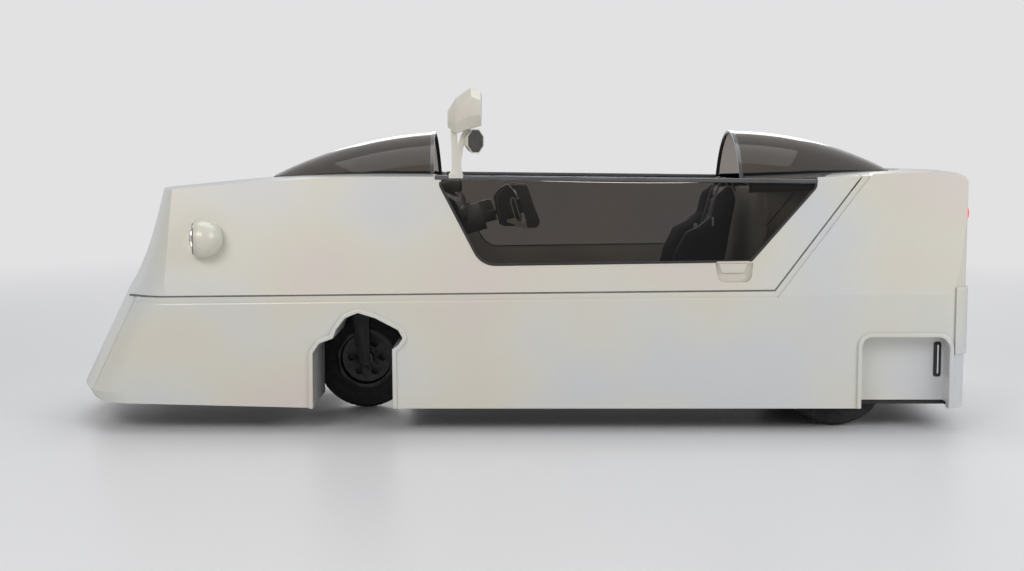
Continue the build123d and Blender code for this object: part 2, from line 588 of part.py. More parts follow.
# ---------------------------------------------------------------- front fork and its bearing
STEM_R = 16.0
CROWN_X = (-668.0, -588.0)
CROWN_Z = (414.0, 438.0)
FORK_LEG = (66.0, 6.0)  # distance of each leg's middle from the centre line, and half its thickness
with BuildPart() as fork:
    add(block(CROWN_X, (-sum(FORK_LEG), sum(FORK_LEG)), CROWN_Z))
    for side in (-1, 1):
        with BuildSketch(Plane(origin=(0, side * FORK_LEG[0], 0), x_dir=(1, 0, 0), z_dir=(0, -1, 0))):
            with BuildLine():
                Polyline((FRONT_WHEEL_X - 24, WHEEL_R - 16), (FRONT_WHEEL_X + 20, WHEEL_R - 16),
                         (FRONT_WHEEL_X + 14, CROWN_Z[0] + 6), (CROWN_X[0] + 8, CROWN_Z[0] + 6), close=True)
            make_face()
        extrude(amount=FORK_LEG[1], both=True)
    with Locations((STEER_X, 0, CROWN_Z[1])):
        Cylinder(STEM_R, 150, align=(Align.CENTER, Align.CENTER, Align.MIN))
    with Locations(Location((FRONT_WHEEL_X, 0, WHEEL_R), (90, 0, 0))):
        Cylinder(AXLE_R, 148)
keep(fork.part, "front_fork")

with BuildPart() as steering_head:
    with Locations((STEER_X, 0, HOUSING[3] + SHEET)):
        Cylinder(48, 12, align=(Align.CENTER, Align.CENTER, Align.MIN))
        Cylinder(30, 110, align=(Align.CENTER, Align.CENTER, Align.MIN))
        Cylinder(STEM_R + FIT, 300, mode=Mode.SUBTRACT)
keep(steering_head.part, "steering_head")

# ---------------------------------------------------------------- rear axle, motor and battery
AXLE_TUBE = (28.0, 620.0)  # radius and length
ARM_Y = 270.0
MOTOR = ((1070.0, 1320.0), (-130.0, 130.0), (140.0, 330.0))
BATTERY = ((230.0, 800.0), (-290.0, 290.0), (FLOOR_Z[1], 262.0))
with BuildPart() as rear_axle:
    with Locations(Location((REAR_WHEEL_X, 0, WHEEL_R), (90, 0, 0))):
        Cylinder(*AXLE_TUBE)
        Cylinder(AXLE_R, 2 * 424)
    for side in (-1, 1):
        add(block((900, REAR_WHEEL_X), (side * ARM_Y - 18, side * ARM_Y + 18), (WHEEL_R - 20, WHEEL_R + 20)))
        add(block((880, 930), (side * ARM_Y - 26, side * ARM_Y + 26), (FLOOR_Z[1], WHEEL_R + 24)))
keep(rear_axle.part, "rear_axle")
with BuildPart() as motor:
    add(block(*MOTOR))
    add(rear_axle.part, mode=Mode.SUBTRACT)
keep(motor.part, "motor")
with BuildPart() as battery:
    add(block(*BATTERY))
keep(battery.part, "battery_box")

# ---------------------------------------------------------------- cabin
with BuildPart() as bulkhead:
    add(body_form(WALL + 8) & side_prism([(846, FLOOR_Z[1]), (862, FLOOR_Z[1]), (932, 880), (916, 880)],
                                         (-700, 700)))
keep(bulkhead.part, "rear_bulkhead")

with BuildPart() as dash:
    add(body_form(WALL + 14) & side_prism(
        [(-372, HOUSING[3] + SHEET), (-372, 560), (-470, 700), (-470, 850), (-330, 892), (-228, 850),
         (-196, 780), (-228, 720), (-300, 640), (-330, HOUSING[3] + SHEET)], (-700, 700)))
keep(dash.part, "dash")

SEAT_Y = 176.0
SEAT_SIDE_Y = (178.0, 226.0)
SEAT_SIDE = [(262, 262), (262, 440), (330, 462), (500, 470), (575, 520), (603, 640), (649, 728), (700, 752),
             (745, 790), (770, 868), (812, 902), (838, 900), (850, 862), (800, 560), (772, 404), (790, 262)]
SEAT_SIDE_R = [8, 30, 0, 60, 30, 40, 20, 30, 20, 0, 14, 14, 0, 0, 0, 8]
with BuildPart() as seat_base:
    add(side_prism([(262, 262), (262, 372), (300, 412), (560, 392), (735, 400), (790, 262)],
                   (-SEAT_Y, SEAT_Y), [8, 8, 30, 0, 12, 8]))
keep(seat_base.part, "seat_base")
with BuildPart() as seat_back:
    add(side_prism([(690, 404), (716, 560), (800, 868), (812, 902), (838, 900), (850, 862), (800, 560),
                    (772, 404)], (-SEAT_Y, SEAT_Y), [8, 0, 0, 14, 14, 0, 0, 8]))
keep(seat_back.part, "seat_back")
with BuildPart() as seat_side:
    add(side_prism(SEAT_SIDE, (-SEAT_SIDE_Y[1], -SEAT_SIDE_Y[0]), SEAT_SIDE_R))
keep(pair(seat_side.part), "seat_sides")
PEDAL_Y = (-90.0, 40.0)
with BuildPart() as pedals:
    for y in PEDAL_Y:
        add(block((-330, -318), (y - 35, y + 35), (150, 250)))
        add(block((-373, -330), (y - 8, y + 8), (190, 206)))
keep(pedals.part, "pedals")

# steering column and yoke: a deep centre pod with a leaning grip on each side
HUB = (-12.0, 808.0)
COLUMN_TILT = 16.0
YOKE_SHAFT_R = 12.0
YOKE_BACK = 70.0  # the pod's back face lies this far down the column from the hub
YOKE_POD = [(-72, -48), (-66, 58), (-52, 74), (-26, 88), (2, 95), (20, 60), (20, -56), (-8, -76), (-58, -62)]
YOKE_POD_R = [8, 8, 8, 8, 10, 10, 10, 10, 8]
YOKE_BAR = [(-24, 26), (44, 26), (44, -30), (-24, -30)]
YOKE_GRIP = [(6, 94), (76, 70), (79, 0), (86, -80), (68, -100), (32, -92), (34, -12), (28, 56)]
YOKE_GRIP_R = [6, 12, 60, 12, 12, 10, 40, 20]
YOKE_GRIP_Y = (92.0, 142.0)
# the column's steps: start and end along its axis from the hub, and radius
COLUMN_STEPS = [(-300.0, -126.0, 56.0), (-128.0, -YOKE_BACK - 8, 32.0)]
COLUMN_COWL = [(-128, 4), (-128, 57), (-80, 56), (-80, 4)]  # on top of the smaller step
COWL_HALF = 34.0
SHAFT_LENGTH = 110.0
column_dir = (cos(radians(COLUMN_TILT)), 0, sin(radians(COLUMN_TILT)))
column_plane = Plane(origin=(HUB[0], 0, HUB[1]), x_dir=(0, 1, 0), z_dir=column_dir)


def along_column(points):
    """Points given along and above the column's axis, from the hub, as x and z of the car."""
    c, s = cos(radians(COLUMN_TILT)), sin(radians(COLUMN_TILT))
    return [(HUB[0] + along * c - above * s, HUB[1] + along * s + above * c) for along, above in points]


with BuildPart() as column:
    for start, end, radius in COLUMN_STEPS:
        with BuildSketch(column_plane.offset(start)):
            Circle(radius)
        extrude(amount=end - start)
    add(side_prism(along_column(COLUMN_COWL), (-COWL_HALF, COWL_HALF), [0, 4, 8, 0]))
    with BuildSketch(column_plane.offset(-YOKE_BACK)):
        Circle(YOKE_SHAFT_R + FIT)
    extrude(amount=-SHAFT_LENGTH - 20, mode=Mode.SUBTRACT)
    add(dash.part, mode=Mode.SUBTRACT)
keep(column.part, "steering_column")
with BuildPart() as yoke:
    add(side_prism(along_column(YOKE_POD), (-66, 66), YOKE_POD_R))
    add(side_prism(along_column(YOKE_BAR), (-100, 100), [8] * 4))
    for side in (-1, 1):
        add(on_side(side_prism(along_column(YOKE_GRIP), (-YOKE_GRIP_Y[1], -YOKE_GRIP_Y[0]), YOKE_GRIP_R),
                    side))
    with BuildSketch(column_plane.offset(-YOKE_BACK - SHAFT_LENGTH)):
        Circle(YOKE_SHAFT_R)
    extrude(amount=SHAFT_LENGTH + 4)
keep(yoke.part, "yoke")

# ---------------------------------------------------------------- mirror, tail lamps, plate, tow socket
MIRROR_Y = -462.0
STALK = [(-249, 938), (-238, 967), (-239, 1045), (-243, 1104), (-220, 1104), (-216, 1050), (-205, 1086),
         (-192, 1108), (-168, 1112), (-180, 1066), (-196, 1044), (-203, 996), (-204, 967), (-197, 938)]
# sections across the mirror's shell: x, lowest z, highest z, half width
SHELL = [(-130.0, 1122.0, 1240.0, 76.0), (-165.0, 1112.0, 1260.0, 82.0), (-222.0, 1093.0, 1219.0, 62.0),
         (-252.0, 1116.0, 1174.0, 26.0)]
SHELL_Y = -468.0
GLASS_SINK = 3.0  # the mirror glasses lie this far inside their rims
SMALL_MIRROR = (-150.0, -468.0, 1065.0)
SMALL_TURN = 48.0
SMALL_R = 48.0
SMALL_DEPTH = 28.0


def shell_section(x, low, high, half, share=1.0):
    """The eight corners of the mirror's shell at one x, shrunk about their middle by share."""
    tall, middle = (high - low) / 2 * share, (high + low) / 2
    wide = half * share
    with BuildSketch(Plane(origin=(x, SHELL_Y, middle), x_dir=(0, 1, 0), z_dir=(1, 0, 0))) as section:
        with BuildLine():
            Polyline((-wide * 0.6, -tall), (wide * 0.6, -tall), (wide, -tall * 0.4), (wide, tall * 0.5),
                     (wide * 0.55, tall), (-wide * 0.55, tall), (-wide, tall * 0.5), (-wide, -tall * 0.4),
                     close=True)
        make_face()
    return section.sketch.face()


with BuildPart() as mirror_stalk:
    add(side_prism(STALK, (MIRROR_Y - 7, MIRROR_Y + 7)))
    add(block((-249, -197), (MIRROR_Y - 12, MIRROR_Y + 12), (930, 947)))
    add(rail.part, mode=Mode.SUBTRACT)
with BuildPart() as mirror_shell:
    loft([shell_section(*row) for row in SHELL], ruled=True)
    with BuildPart(mode=Mode.SUBTRACT):
        loft([shell_section(*SHELL[0], 0.92), shell_section(SHELL[0][0] - GLASS_SINK, *SHELL[0][1:], 0.92)])
with BuildPart() as mirror_glass:
    loft([shell_section(SHELL[0][0] - GLASS_SINK, *SHELL[0][1:], 0.92),
          shell_section(SHELL[0][0] - GLASS_SINK + 2, *SHELL[0][1:], 0.92)])
small_plane = Plane(origin=SMALL_MIRROR, x_dir=(0, 0, 1),
                    z_dir=(sin(radians(SMALL_TURN)), -cos(radians(SMALL_TURN)), 0))
with BuildPart() as mirror_small:
    with BuildSketch(small_plane):
        RegularPolygon(SMALL_R, 8, rotation=22.5)
    extrude(amount=-SMALL_DEPTH, taper=22)
    with BuildSketch(small_plane):
        RegularPolygon(SMALL_R * 0.9, 8, rotation=22.5)
    extrude(amount=-GLASS_SINK, mode=Mode.SUBTRACT)
    add(mirror_shell.part, mode=Mode.SUBTRACT)
with BuildPart() as mirror_small_glass:
    with BuildSketch(small_plane.offset(-GLASS_SINK)):
        RegularPolygon(SMALL_R * 0.9, 8, rotation=22.5)
    extrude(amount=2)
keep(mirror_stalk.part - mirror_shell.part - mirror_small.part, "mirror_stalk")
keep(mirror_shell.part, "mirror_shell")
keep(mirror_small.part, "mirror_small")
keep(mirror_glass.part + mirror_small_glass.part, "mirror_glasses")

TAIL_LAMP = (400.0, 799.0, 24.0)
with BuildPart() as tail_lamp:
    with Locations(Location((1650, -TAIL_LAMP[0], TAIL_LAMP[1]), (0, 90, 0))):
        Cylinder(TAIL_LAMP[2], 40, align=(Align.CENTER, Align.CENTER, Align.MIN))
    add(outer, mode=Mode.SUBTRACT)
    add(body_form(-7), mode=Mode.INTERSECT)
keep(pair(tail_lamp.part), "tail_lamps")
with BuildPart() as plate:
    add(block((TAIL_X + 9, TAIL_X + 11), (-120, 120), (380, 470)))
    for y in (-85, 85):
        with Locations(Location((TAIL_X + 9, y, 425), (0, 90, 0))):
            Cylinder(3.2, 30, mode=Mode.SUBTRACT)
keep(plate.part, "plate")
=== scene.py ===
"""Looks of the three wheeled car: materials, trim, soft parts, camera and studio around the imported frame."""

import json
import math

import bmesh
import bpy
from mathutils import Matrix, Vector
from mathutils.bvhtree import BVHTree


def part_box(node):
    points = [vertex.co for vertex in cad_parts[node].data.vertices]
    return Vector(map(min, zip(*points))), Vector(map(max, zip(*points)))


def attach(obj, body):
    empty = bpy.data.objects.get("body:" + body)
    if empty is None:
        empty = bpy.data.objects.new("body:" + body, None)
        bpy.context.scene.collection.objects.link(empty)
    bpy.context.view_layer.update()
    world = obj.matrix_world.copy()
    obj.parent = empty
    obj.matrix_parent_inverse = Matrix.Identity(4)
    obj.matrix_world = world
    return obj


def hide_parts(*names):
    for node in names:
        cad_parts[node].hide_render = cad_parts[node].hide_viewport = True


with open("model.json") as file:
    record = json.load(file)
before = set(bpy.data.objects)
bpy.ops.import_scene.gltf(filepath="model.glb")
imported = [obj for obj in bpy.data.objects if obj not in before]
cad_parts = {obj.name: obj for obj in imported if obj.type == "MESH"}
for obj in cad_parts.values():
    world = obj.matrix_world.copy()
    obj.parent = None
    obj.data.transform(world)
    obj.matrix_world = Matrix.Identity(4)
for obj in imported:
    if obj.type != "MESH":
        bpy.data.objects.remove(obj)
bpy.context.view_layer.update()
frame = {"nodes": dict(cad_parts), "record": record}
nodes = frame["nodes"]
bpy.context.scene.view_settings.view_transform = "Standard"


# -------------------------------------------- camera, floor and light
CAMERA_AT = (-0.0175, -5.6969, 1.033)
CAMERA_DOWN = 5.443
BACKDROP = (0.76, 0.76, 0.77)
FLOOR_FADE = (1.8, 9.0)  # distances from the car


def place_camera():
    """A camera on the car's left side, a little above the domes, that looks slightly down."""
    data = bpy.data.cameras.new("camera")
    data.lens, data.sensor_width = 50.0, 36.0
    data.clip_start, data.clip_end = 0.1, 100.0
    cam = bpy.data.objects.new("camera", data)
    bpy.context.collection.objects.link(cam)
    cam.location = CAMERA_AT
    cam.rotation_euler = (math.radians(90 - CAMERA_DOWN), 0, 0)
    bpy.context.scene.camera = cam


def new_material(name):
    mat = bpy.data.materials.new(name)
    mat.use_nodes = True
    nt = mat.node_tree
    return mat, nt, nt.nodes["Principled BSDF"]


def sees_backdrop(nt):
    """1 for the rays of the camera, of mirrors and of glass, 0 for the light that falls on the car."""
    path = nt.nodes.new("ShaderNodeLightPath")
    seen = path.outputs["Is Camera Ray"]
    for ray in ("Is Glossy Ray", "Is Transmission Ray"):
        either = nt.nodes.new("ShaderNodeMath")
        either.operation = "MAXIMUM"
        nt.links.new(seen, either.inputs[0])
        nt.links.new(path.outputs[ray], either.inputs[1])
        seen = either.outputs["Value"]
    return seen


def build_stage():
    """The floor, and a world that lights softly and shows as one pale tone."""
    bpy.ops.mesh.primitive_plane_add(size=80, location=(0, 0, -0.0005))
    floor = bpy.context.object
    floor.name = "floor"
    mat, nt, bsdf = new_material("floor")
    bsdf.inputs["Base Color"].default_value = (0.84, 0.84, 0.85, 1)
    bsdf.inputs["Roughness"].default_value = 0.35
    bsdf.inputs["Specular IOR Level"].default_value = 0.35
    # far from the car the floor's look fades into the backdrop's
    far = nt.nodes.new("ShaderNodeEmission")
    far.inputs["Color"].default_value = (*BACKDROP, 1)
    coord = nt.nodes.new("ShaderNodeTexCoord")
    length = nt.nodes.new("ShaderNodeVectorMath")
    length.operation = "LENGTH"
    nt.links.new(coord.outputs["Object"], length.inputs[0])
    fade = nt.nodes.new("ShaderNodeMapRange")
    fade.interpolation_type = "SMOOTHSTEP"
    fade.inputs["From Min"].default_value, fade.inputs["From Max"].default_value = FLOOR_FADE
    nt.links.new(length.outputs["Value"], fade.inputs["Value"])
    share = nt.nodes.new("ShaderNodeMath")
    share.operation = "MULTIPLY"
    nt.links.new(fade.outputs["Result"], share.inputs[0])
    nt.links.new(sees_backdrop(nt), share.inputs[1])
    mix = nt.nodes.new("ShaderNodeMixShader")
    nt.links.new(share.outputs["Value"], mix.inputs["Fac"])
    nt.links.new(bsdf.outputs["BSDF"], mix.inputs[1])
    nt.links.new(far.outputs["Emission"], mix.inputs[2])
    nt.links.new(mix.outputs["Shader"], nt.nodes["Material Output"].inputs["Surface"])
    floor.data.materials.append(mat)
    world = bpy.data.worlds.new("world")
    bpy.context.scene.world = world
    world.use_nodes = True
    nt = world.node_tree
    light = nt.nodes["Background"]
    light.inputs["Color"].default_value = (0.88, 0.91, 0.96, 1)
    light.inputs["Strength"].default_value = 0.33
    shown = nt.nodes.new("ShaderNodeBackground")
    shown.inputs["Color"].default_value = (*BACKDROP, 1)
    shown.inputs["Strength"].default_value = 1.0
    mix = nt.nodes.new("ShaderNodeMixShader")
    nt.links.new(sees_backdrop(nt), mix.inputs["Fac"])
    nt.links.new(light.outputs["Background"], mix.inputs[1])
    nt.links.new(shown.outputs["Background"], mix.inputs[2])
    nt.links.new(mix.outputs["Shader"], nt.nodes["World Output"].inputs["Surface"])


def area_light(name, at, aim, size, power, colour=(1, 1, 1)):
    """A rectangular lamp that looks at a point."""
    data = bpy.data.lights.new(name, "AREA")
    data.shape, data.size, data.size_y = "RECTANGLE", size[0], size[1]
    data.energy, data.color = power, colour
    obj = bpy.data.objects.new(name, data)
    bpy.context.collection.objects.link(obj)
    obj.location = at
    obj.rotation_euler = (Vector(aim) - Vector(at)).to_track_quat("-Z", "Y").to_euler()


place_camera()
build_stage()
area_light("key", (-2.6, -5.0, 3.6), (-0.2, 0, 0.5), (3.0, 2.0), 96, (1.0, 0.97, 0.93))
area_light("fill", (4.5, -3.5, 3.0), (0, 0, 0.5), (3.0, 3.0), 92, (0.97, 0.98, 1.0))
area_light("top", (0, 0.6, 5.5), (0, 0, 0), (6.0, 3.0), 92)
area_light("back", (0.5, 6.0, 3.0), (0, 0, 0.6), (5.0, 2.0), 90)


# -------------------------------------------- materials
def coordinates(nt, scale=(1, 1, 1)):
    """Places in the object, in metres, stretched by scale."""
    coord = nt.nodes.new("ShaderNodeTexCoord")
    mapping = nt.nodes.new("ShaderNodeMapping")
    mapping.inputs["Scale"].default_value = scale
    nt.links.new(coord.outputs["Object"], mapping.inputs["Vector"])
    return mapping.outputs["Vector"]


def noise(nt, scale, detail=2.0, stretch=(1, 1, 1)):
    node = nt.nodes.new("ShaderNodeTexNoise")
    node.inputs["Scale"].default_value = scale
    node.inputs["Detail"].default_value = detail
    nt.links.new(coordinates(nt, stretch), node.inputs["Vector"])
    return node.outputs["Fac"]


def ramp(nt, factor, stops):
    """Colours or values spread over a factor. stops are (position, colour)."""
    node = nt.nodes.new("ShaderNodeValToRGB")
    elements = node.color_ramp.elements
    while len(elements) < len(stops):
        elements.new(0.5)
    for element, (position, colour) in zip(elements, stops):
        element.position, element.color = position, (*colour, 1)
    nt.links.new(factor, node.inputs["Fac"])
    return node.outputs["Color"]


def spread(nt, factor, low, high):
    """A value between low and high."""
    node = nt.nodes.new("ShaderNodeMapRange")
    node.inputs["From Min"].default_value, node.inputs["From Max"].default_value = 0.3, 0.7
    node.inputs["To Min"].default_value, node.inputs["To Max"].default_value = low, high
    nt.links.new(factor, node.inputs["Value"])
    return node.outputs["Result"]


def bumped(nt, bsdf, height, depth, strength=1.0):
    """Relief of a depth in metres."""
    node = nt.nodes.new("ShaderNodeBump")
    node.inputs["Strength"].default_value = strength
    node.inputs["Distance"].default_value = depth
    nt.links.new(height, node.inputs["Height"])
    nt.links.new(node.outputs["Normal"], bsdf.inputs["Normal"])


def pearl(name, colour):
    """Pearl paint under clear coat: faint patches of pink, yellow and blue, and a fine flake."""
    mat, nt, bsdf = new_material(name)
    r, g, b = colour
    tints = [(0.30, (r, g * 0.935, b * 0.94)), (0.44, (r * 0.99, g * 0.985, b * 0.92)),
             (0.54, (r * 0.97, g, b)), (0.66, (r * 0.925, g * 0.975, b * 1.07))]
    nt.links.new(ramp(nt, noise(nt, 1.6, 1.0, (1, 1, 1.4)), tints), bsdf.inputs["Base Color"])
    nt.links.new(spread(nt, noise(nt, 3.0), 0.36, 0.44), bsdf.inputs["Roughness"])
    bsdf.inputs["Metallic"].default_value = 0.08
    bsdf.inputs["Thin Film Thickness"].default_value = 420.0
    bsdf.inputs["Thin Film IOR"].default_value = 1.45
    bsdf.inputs["Coat Weight"].default_value = 0.7
    bsdf.inputs["Coat Roughness"].default_value = 0.16
    bumped(nt, bsdf, noise(nt, 900.0, 0.0), 0.00004, 0.5)
    return mat


COLOUR_PATCHES, ROUGH_PATCHES, GRAIN = 30.0, 69.0, 600.0  # noise scales, per metre


def plain(name, low, high, rough=(0.4, 0.5), metal=0.0, grain=0.0, stretch=(1, 1, 1), coat=0.0):
    """A material whose colour and roughness vary a little over its surface, with a fine grain."""
    mat, nt, bsdf = new_material(name)
    colour = ramp(nt, noise(nt, COLOUR_PATCHES, 3.0, stretch), [(0.35, low), (0.65, high)])
    nt.links.new(colour, bsdf.inputs["Base Color"])
    nt.links.new(spread(nt, noise(nt, ROUGH_PATCHES, 3.0, stretch), *rough), bsdf.inputs["Roughness"])
    bsdf.inputs["Metallic"].default_value = metal
    bsdf.inputs["Coat Weight"].default_value = coat
    bsdf.inputs["Coat Roughness"].default_value = 0.08
    if grain:
        bumped(nt, bsdf, noise(nt, GRAIN, 3.0, stretch), grain)
    return mat


def leather(name, low, high, cell=260.0):
    """Grained leather: small cells with creases between them."""
    mat, nt, bsdf = new_material(name)
    nt.links.new(ramp(nt, noise(nt, 9.0, 4.0), [(0.35, low), (0.65, high)]), bsdf.inputs["Base Color"])
    cells = nt.nodes.new("ShaderNodeTexVoronoi")
    cells.feature = "DISTANCE_TO_EDGE"
    cells.inputs["Scale"].default_value = cell
    nt.links.new(coordinates(nt), cells.inputs["Vector"])
    nt.links.new(spread(nt, noise(nt, 20.0, 2.0), 0.38, 0.5), bsdf.inputs["Roughness"])
    bsdf.inputs["Sheen Weight"].default_value = 0.08
    bumped(nt, bsdf, cells.outputs["Distance"], 0.0009, 0.7)
    return mat


def woven(name, low, high, scale):
    """Webbing or carpet: fine threads one way and the other."""
    mat, nt, bsdf = new_material(name)
    wave = nt.nodes.new("ShaderNodeTexWave")
    wave.bands_direction = "DIAGONAL"
    wave.inputs["Scale"].default_value = scale
    wave.inputs["Distortion"].default_value = 1.5
    nt.links.new(coordinates(nt), wave.inputs["Vector"])
    nt.links.new(ramp(nt, wave.outputs["Fac"], [(0.2, low), (0.8, high)]), bsdf.inputs["Base Color"])
    nt.links.new(spread(nt, noise(nt, 80.0), 0.7, 0.85), bsdf.inputs["Roughness"])
    bsdf.inputs["Sheen Weight"].default_value = 0.3
    bumped(nt, bsdf, wave.outputs["Fac"], 0.0006, 0.6)
    return mat


def glass(name, colour, rough=(0.01, 0.03), index=1.45):
    """Tinted glass, its tint drifting a little from warm to cool."""
    mat, nt, bsdf = new_material(name)
    r, g, b = colour
    tints = [(0.35, (r * 0.94, g * 0.95, b)), (0.65, (r, g * 0.98, b * 0.94))]
    nt.links.new(ramp(nt, noise(nt, 2.0), tints), bsdf.inputs["Base Color"])
    nt.links.new(spread(nt, noise(nt, 14.0), *rough), bsdf.inputs["Roughness"])
    bsdf.inputs["Transmission Weight"].default_value = 1.0
    bsdf.inputs["IOR"].default_value = index
    return mat


def lit(name, colour, strength):
    """A lamp's glowing filament or bulb, whiter in patches."""
    mat, nt, bsdf = new_material(name)
    nt.links.new(ramp(nt, noise(nt, 60.0), [(0.3, colour), (0.7, (1, 1, 1))]), bsdf.inputs["Emission Color"])
    bsdf.inputs["Emission Strength"].default_value = strength
    bsdf.inputs["Roughness"].default_value = 0.2
    return mat


def glowing(mat, colour, strength):
    """The same material with a faint light of its own."""
    bsdf = mat.node_tree.nodes["Principled BSDF"]
    bsdf.inputs["Emission Color"].default_value = (*colour, 1)
    bsdf.inputs["Emission Strength"].default_value = strength
    return mat


MATERIALS = {
    "pearl_white": pearl("pearl_white", (0.715, 0.690, 0.635)),
    "smoked_glass": glass("smoked_glass", (0.30, 0.28, 0.26), (0.0, 0.004), 1.22),
    "dark_trim": plain("dark_trim", (0.030, 0.026, 0.026), (0.046, 0.040, 0.040), (0.16, 0.26), coat=0.6),
    "dark_plastic": plain("dark_plastic", (0.013, 0.013, 0.014), (0.022, 0.021, 0.022), (0.5, 0.62),
                          grain=0.0003),
    "pale_liner": plain("pale_liner", (0.36, 0.355, 0.345), (0.42, 0.415, 0.405), (0.42, 0.55), grain=0.0003),
    "seat_leather": leather("seat_leather", (0.010, 0.011, 0.020), (0.018, 0.019, 0.032)),
    "yoke_leather": leather("yoke_leather", (0.052, 0.043, 0.047), (0.078, 0.066, 0.070), cell=420.0),
    "grey_steel": plain("grey_steel", (0.06, 0.06, 0.064), (0.10, 0.10, 0.105), (0.34, 0.5), 0.7,
                        grain=0.0002, stretch=(1, 1, 0.2)),
    "tyre": plain("tyre", (0.010, 0.010, 0.011), (0.020, 0.019, 0.019), (0.68, 0.85), grain=0.0004),
    "rim": plain("rim", (0.020, 0.020, 0.021), (0.034, 0.034, 0.036), (0.3, 0.42), 0.4, grain=0.0002),
    "chrome": plain("chrome", (0.66, 0.66, 0.68), (0.74, 0.74, 0.76), (0.05, 0.11), 1.0),
    "lamp_glass": glass("lamp_glass", (0.84, 0.83, 0.83), (0.0, 0.01), 1.35),
    "red_lamp": glowing(plain("red_lamp", (0.42, 0.008, 0.008), (0.60, 0.012, 0.010), (0.1, 0.16), coat=1.0),
                        (1.0, 0.12, 0.10), 0.7),
    "blank_plate": plain("blank_plate", (0.56, 0.56, 0.54), (0.62, 0.62, 0.60), (0.28, 0.36), coat=0.4),
    "mirror_glass": plain("mirror_glass", (0.085, 0.082, 0.080), (0.11, 0.105, 0.10), (0.02, 0.05), 1.0),
    "stitching": plain("stitching", (0.20, 0.20, 0.21), (0.26, 0.26, 0.27), (0.7, 0.8)),
    "webbing": woven("webbing", (0.016, 0.016, 0.020), (0.045, 0.045, 0.055), 220.0),
    "carpet": woven("carpet", (0.012, 0.012, 0.013), (0.030, 0.029, 0.030), 120.0),
    "dial_face": plain("dial_face", (0.008, 0.008, 0.009), (0.014, 0.014, 0.015), (0.2, 0.3), coat=1.0),
    "column_grey": plain("column_grey", (0.13, 0.125, 0.115), (0.18, 0.175, 0.16), (0.35, 0.5), grain=0.0002),
    "lever_cream": plain("lever_cream", (0.78, 0.76, 0.64), (0.86, 0.84, 0.72), (0.3, 0.4)),
    "rail_metal": plain("rail_metal", (0.095, 0.095, 0.10), (0.13, 0.13, 0.135), (0.18, 0.28), 0.6,
                        grain=0.0001, stretch=(0.2, 1, 1)),
    "seal_grey": plain("seal_grey", (0.15, 0.145, 0.135), (0.20, 0.195, 0.18), (0.6, 0.7), grain=0.0002),
    "black_steel": plain("black_steel", (0.014, 0.014, 0.015), (0.024, 0.024, 0.025), (0.38, 0.5), 0.3,
                         grain=0.0002),
    "dark_chrome": plain("dark_chrome", (0.24, 0.235, 0.24), (0.30, 0.295, 0.30), (0.08, 0.14), 1.0),
    # glow of the headlamp bulbs, and of the beads that paint the two highlights in each lens
    "lit_bulb": lit("lit_bulb", (1.0, 0.93, 0.80), 6.0),
}
CLOSER_LOOK = {"steering_column": "column_grey", "window_rails": "rail_metal", "front_fork": "black_steel",
               "lamp_rings": "dark_chrome"}
for entry in frame["record"]["subparts"]:
    mesh = nodes[entry["node"]].data
    mesh.materials.clear()
    mesh.materials.append(MATERIALS[CLOSER_LOOK.get(entry["node"], entry["material_slot"])])


# -------------------------------------------- helpers for new pieces
NODE_SLOT = {e["node"]: e["material_slot"] for e in frame["record"]["subparts"]}
BODY_OF = {node: body for body, members in frame["record"]["behaviour"]["bodies"].items() for node in members}


def finish_piece(obj, mat, body, replaced=(), smooth=True):
    """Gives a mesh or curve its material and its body."""
    obj.data.materials.clear()
    obj.data.materials.append(MATERIALS[mat])
    if smooth and obj.type == "MESH":
        obj.data.shade_smooth()
        obj.data.set_sharp_from_angle(angle=0.6)
    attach(obj, body)
    if replaced:
        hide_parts(*replaced)
    return obj


def mesh_object(name, verts, faces):
    """A mesh with its doubled points merged and its faces turned outwards."""
    mesh = bpy.data.meshes.new(name)
    mesh.from_pydata([tuple(v) for v in verts], [], faces)
    bm = bmesh.new()
    bm.from_mesh(mesh)
    bmesh.ops.remove_doubles(bm, verts=bm.verts, dist=1e-6)
    bmesh.ops.recalc_face_normals(bm, faces=bm.faces)
    bm.to_mesh(mesh)
    bm.free()
    obj = bpy.data.objects.new(name, mesh)
    bpy.context.collection.objects.link(obj)
    return obj


def apply_modifiers(obj):
    depsgraph = bpy.context.evaluated_depsgraph_get()
    mesh = bpy.data.meshes.new_from_object(obj.evaluated_get(depsgraph))
    obj.modifiers.clear()
    old, obj.data = obj.data, mesh
    bpy.data.meshes.remove(old)


def round_edges(obj, width, segments=3, angle=0.6):
    """Rounds the edges that are sharper than an angle."""
    mod = obj.modifiers.new("bevel", "BEVEL")
    mod.width, mod.segments = width, segments
    mod.limit_method, mod.angle_limit = "ANGLE", angle
    apply_modifiers(obj)


def piece(name, verts, faces, mat, body, bevel=0.0, subdiv=0, replaced=(), smooth=True, slot=None):
    """A mesh piece in the car's frame that rides on a body."""
    obj = mesh_object(name, verts, faces)
    if bevel:
        round_edges(obj, bevel)
    if subdiv:
        mod = obj.modifiers.new("subdivision", "SUBSURF")
        mod.levels = mod.render_levels = subdiv
        apply_modifiers(obj)
    return finish_piece(obj, mat, body, replaced, smooth)


def softened(node, width, segments=3, angle=0.5):
    """A CAD piece with its edges rounded, shown in place of it."""
    obj = bpy.data.objects.new(f"{node}_rounded", nodes[node].data.copy())
    bpy.context.collection.objects.link(obj)
    bm = bmesh.new()
    bm.from_mesh(obj.data)
    bmesh.ops.remove_doubles(bm, verts=bm.verts, dist=1e-5)
    bmesh.ops.dissolve_limit(bm, angle_limit=0.01, verts=bm.verts, edges=bm.edges)
    bm.to_mesh(obj.data)
    bm.free()
    round_edges(obj, width, segments, angle)
    return finish_piece(obj, CLOSER_LOOK.get(node, NODE_SLOT[node]), BODY_OF[node], (node,))


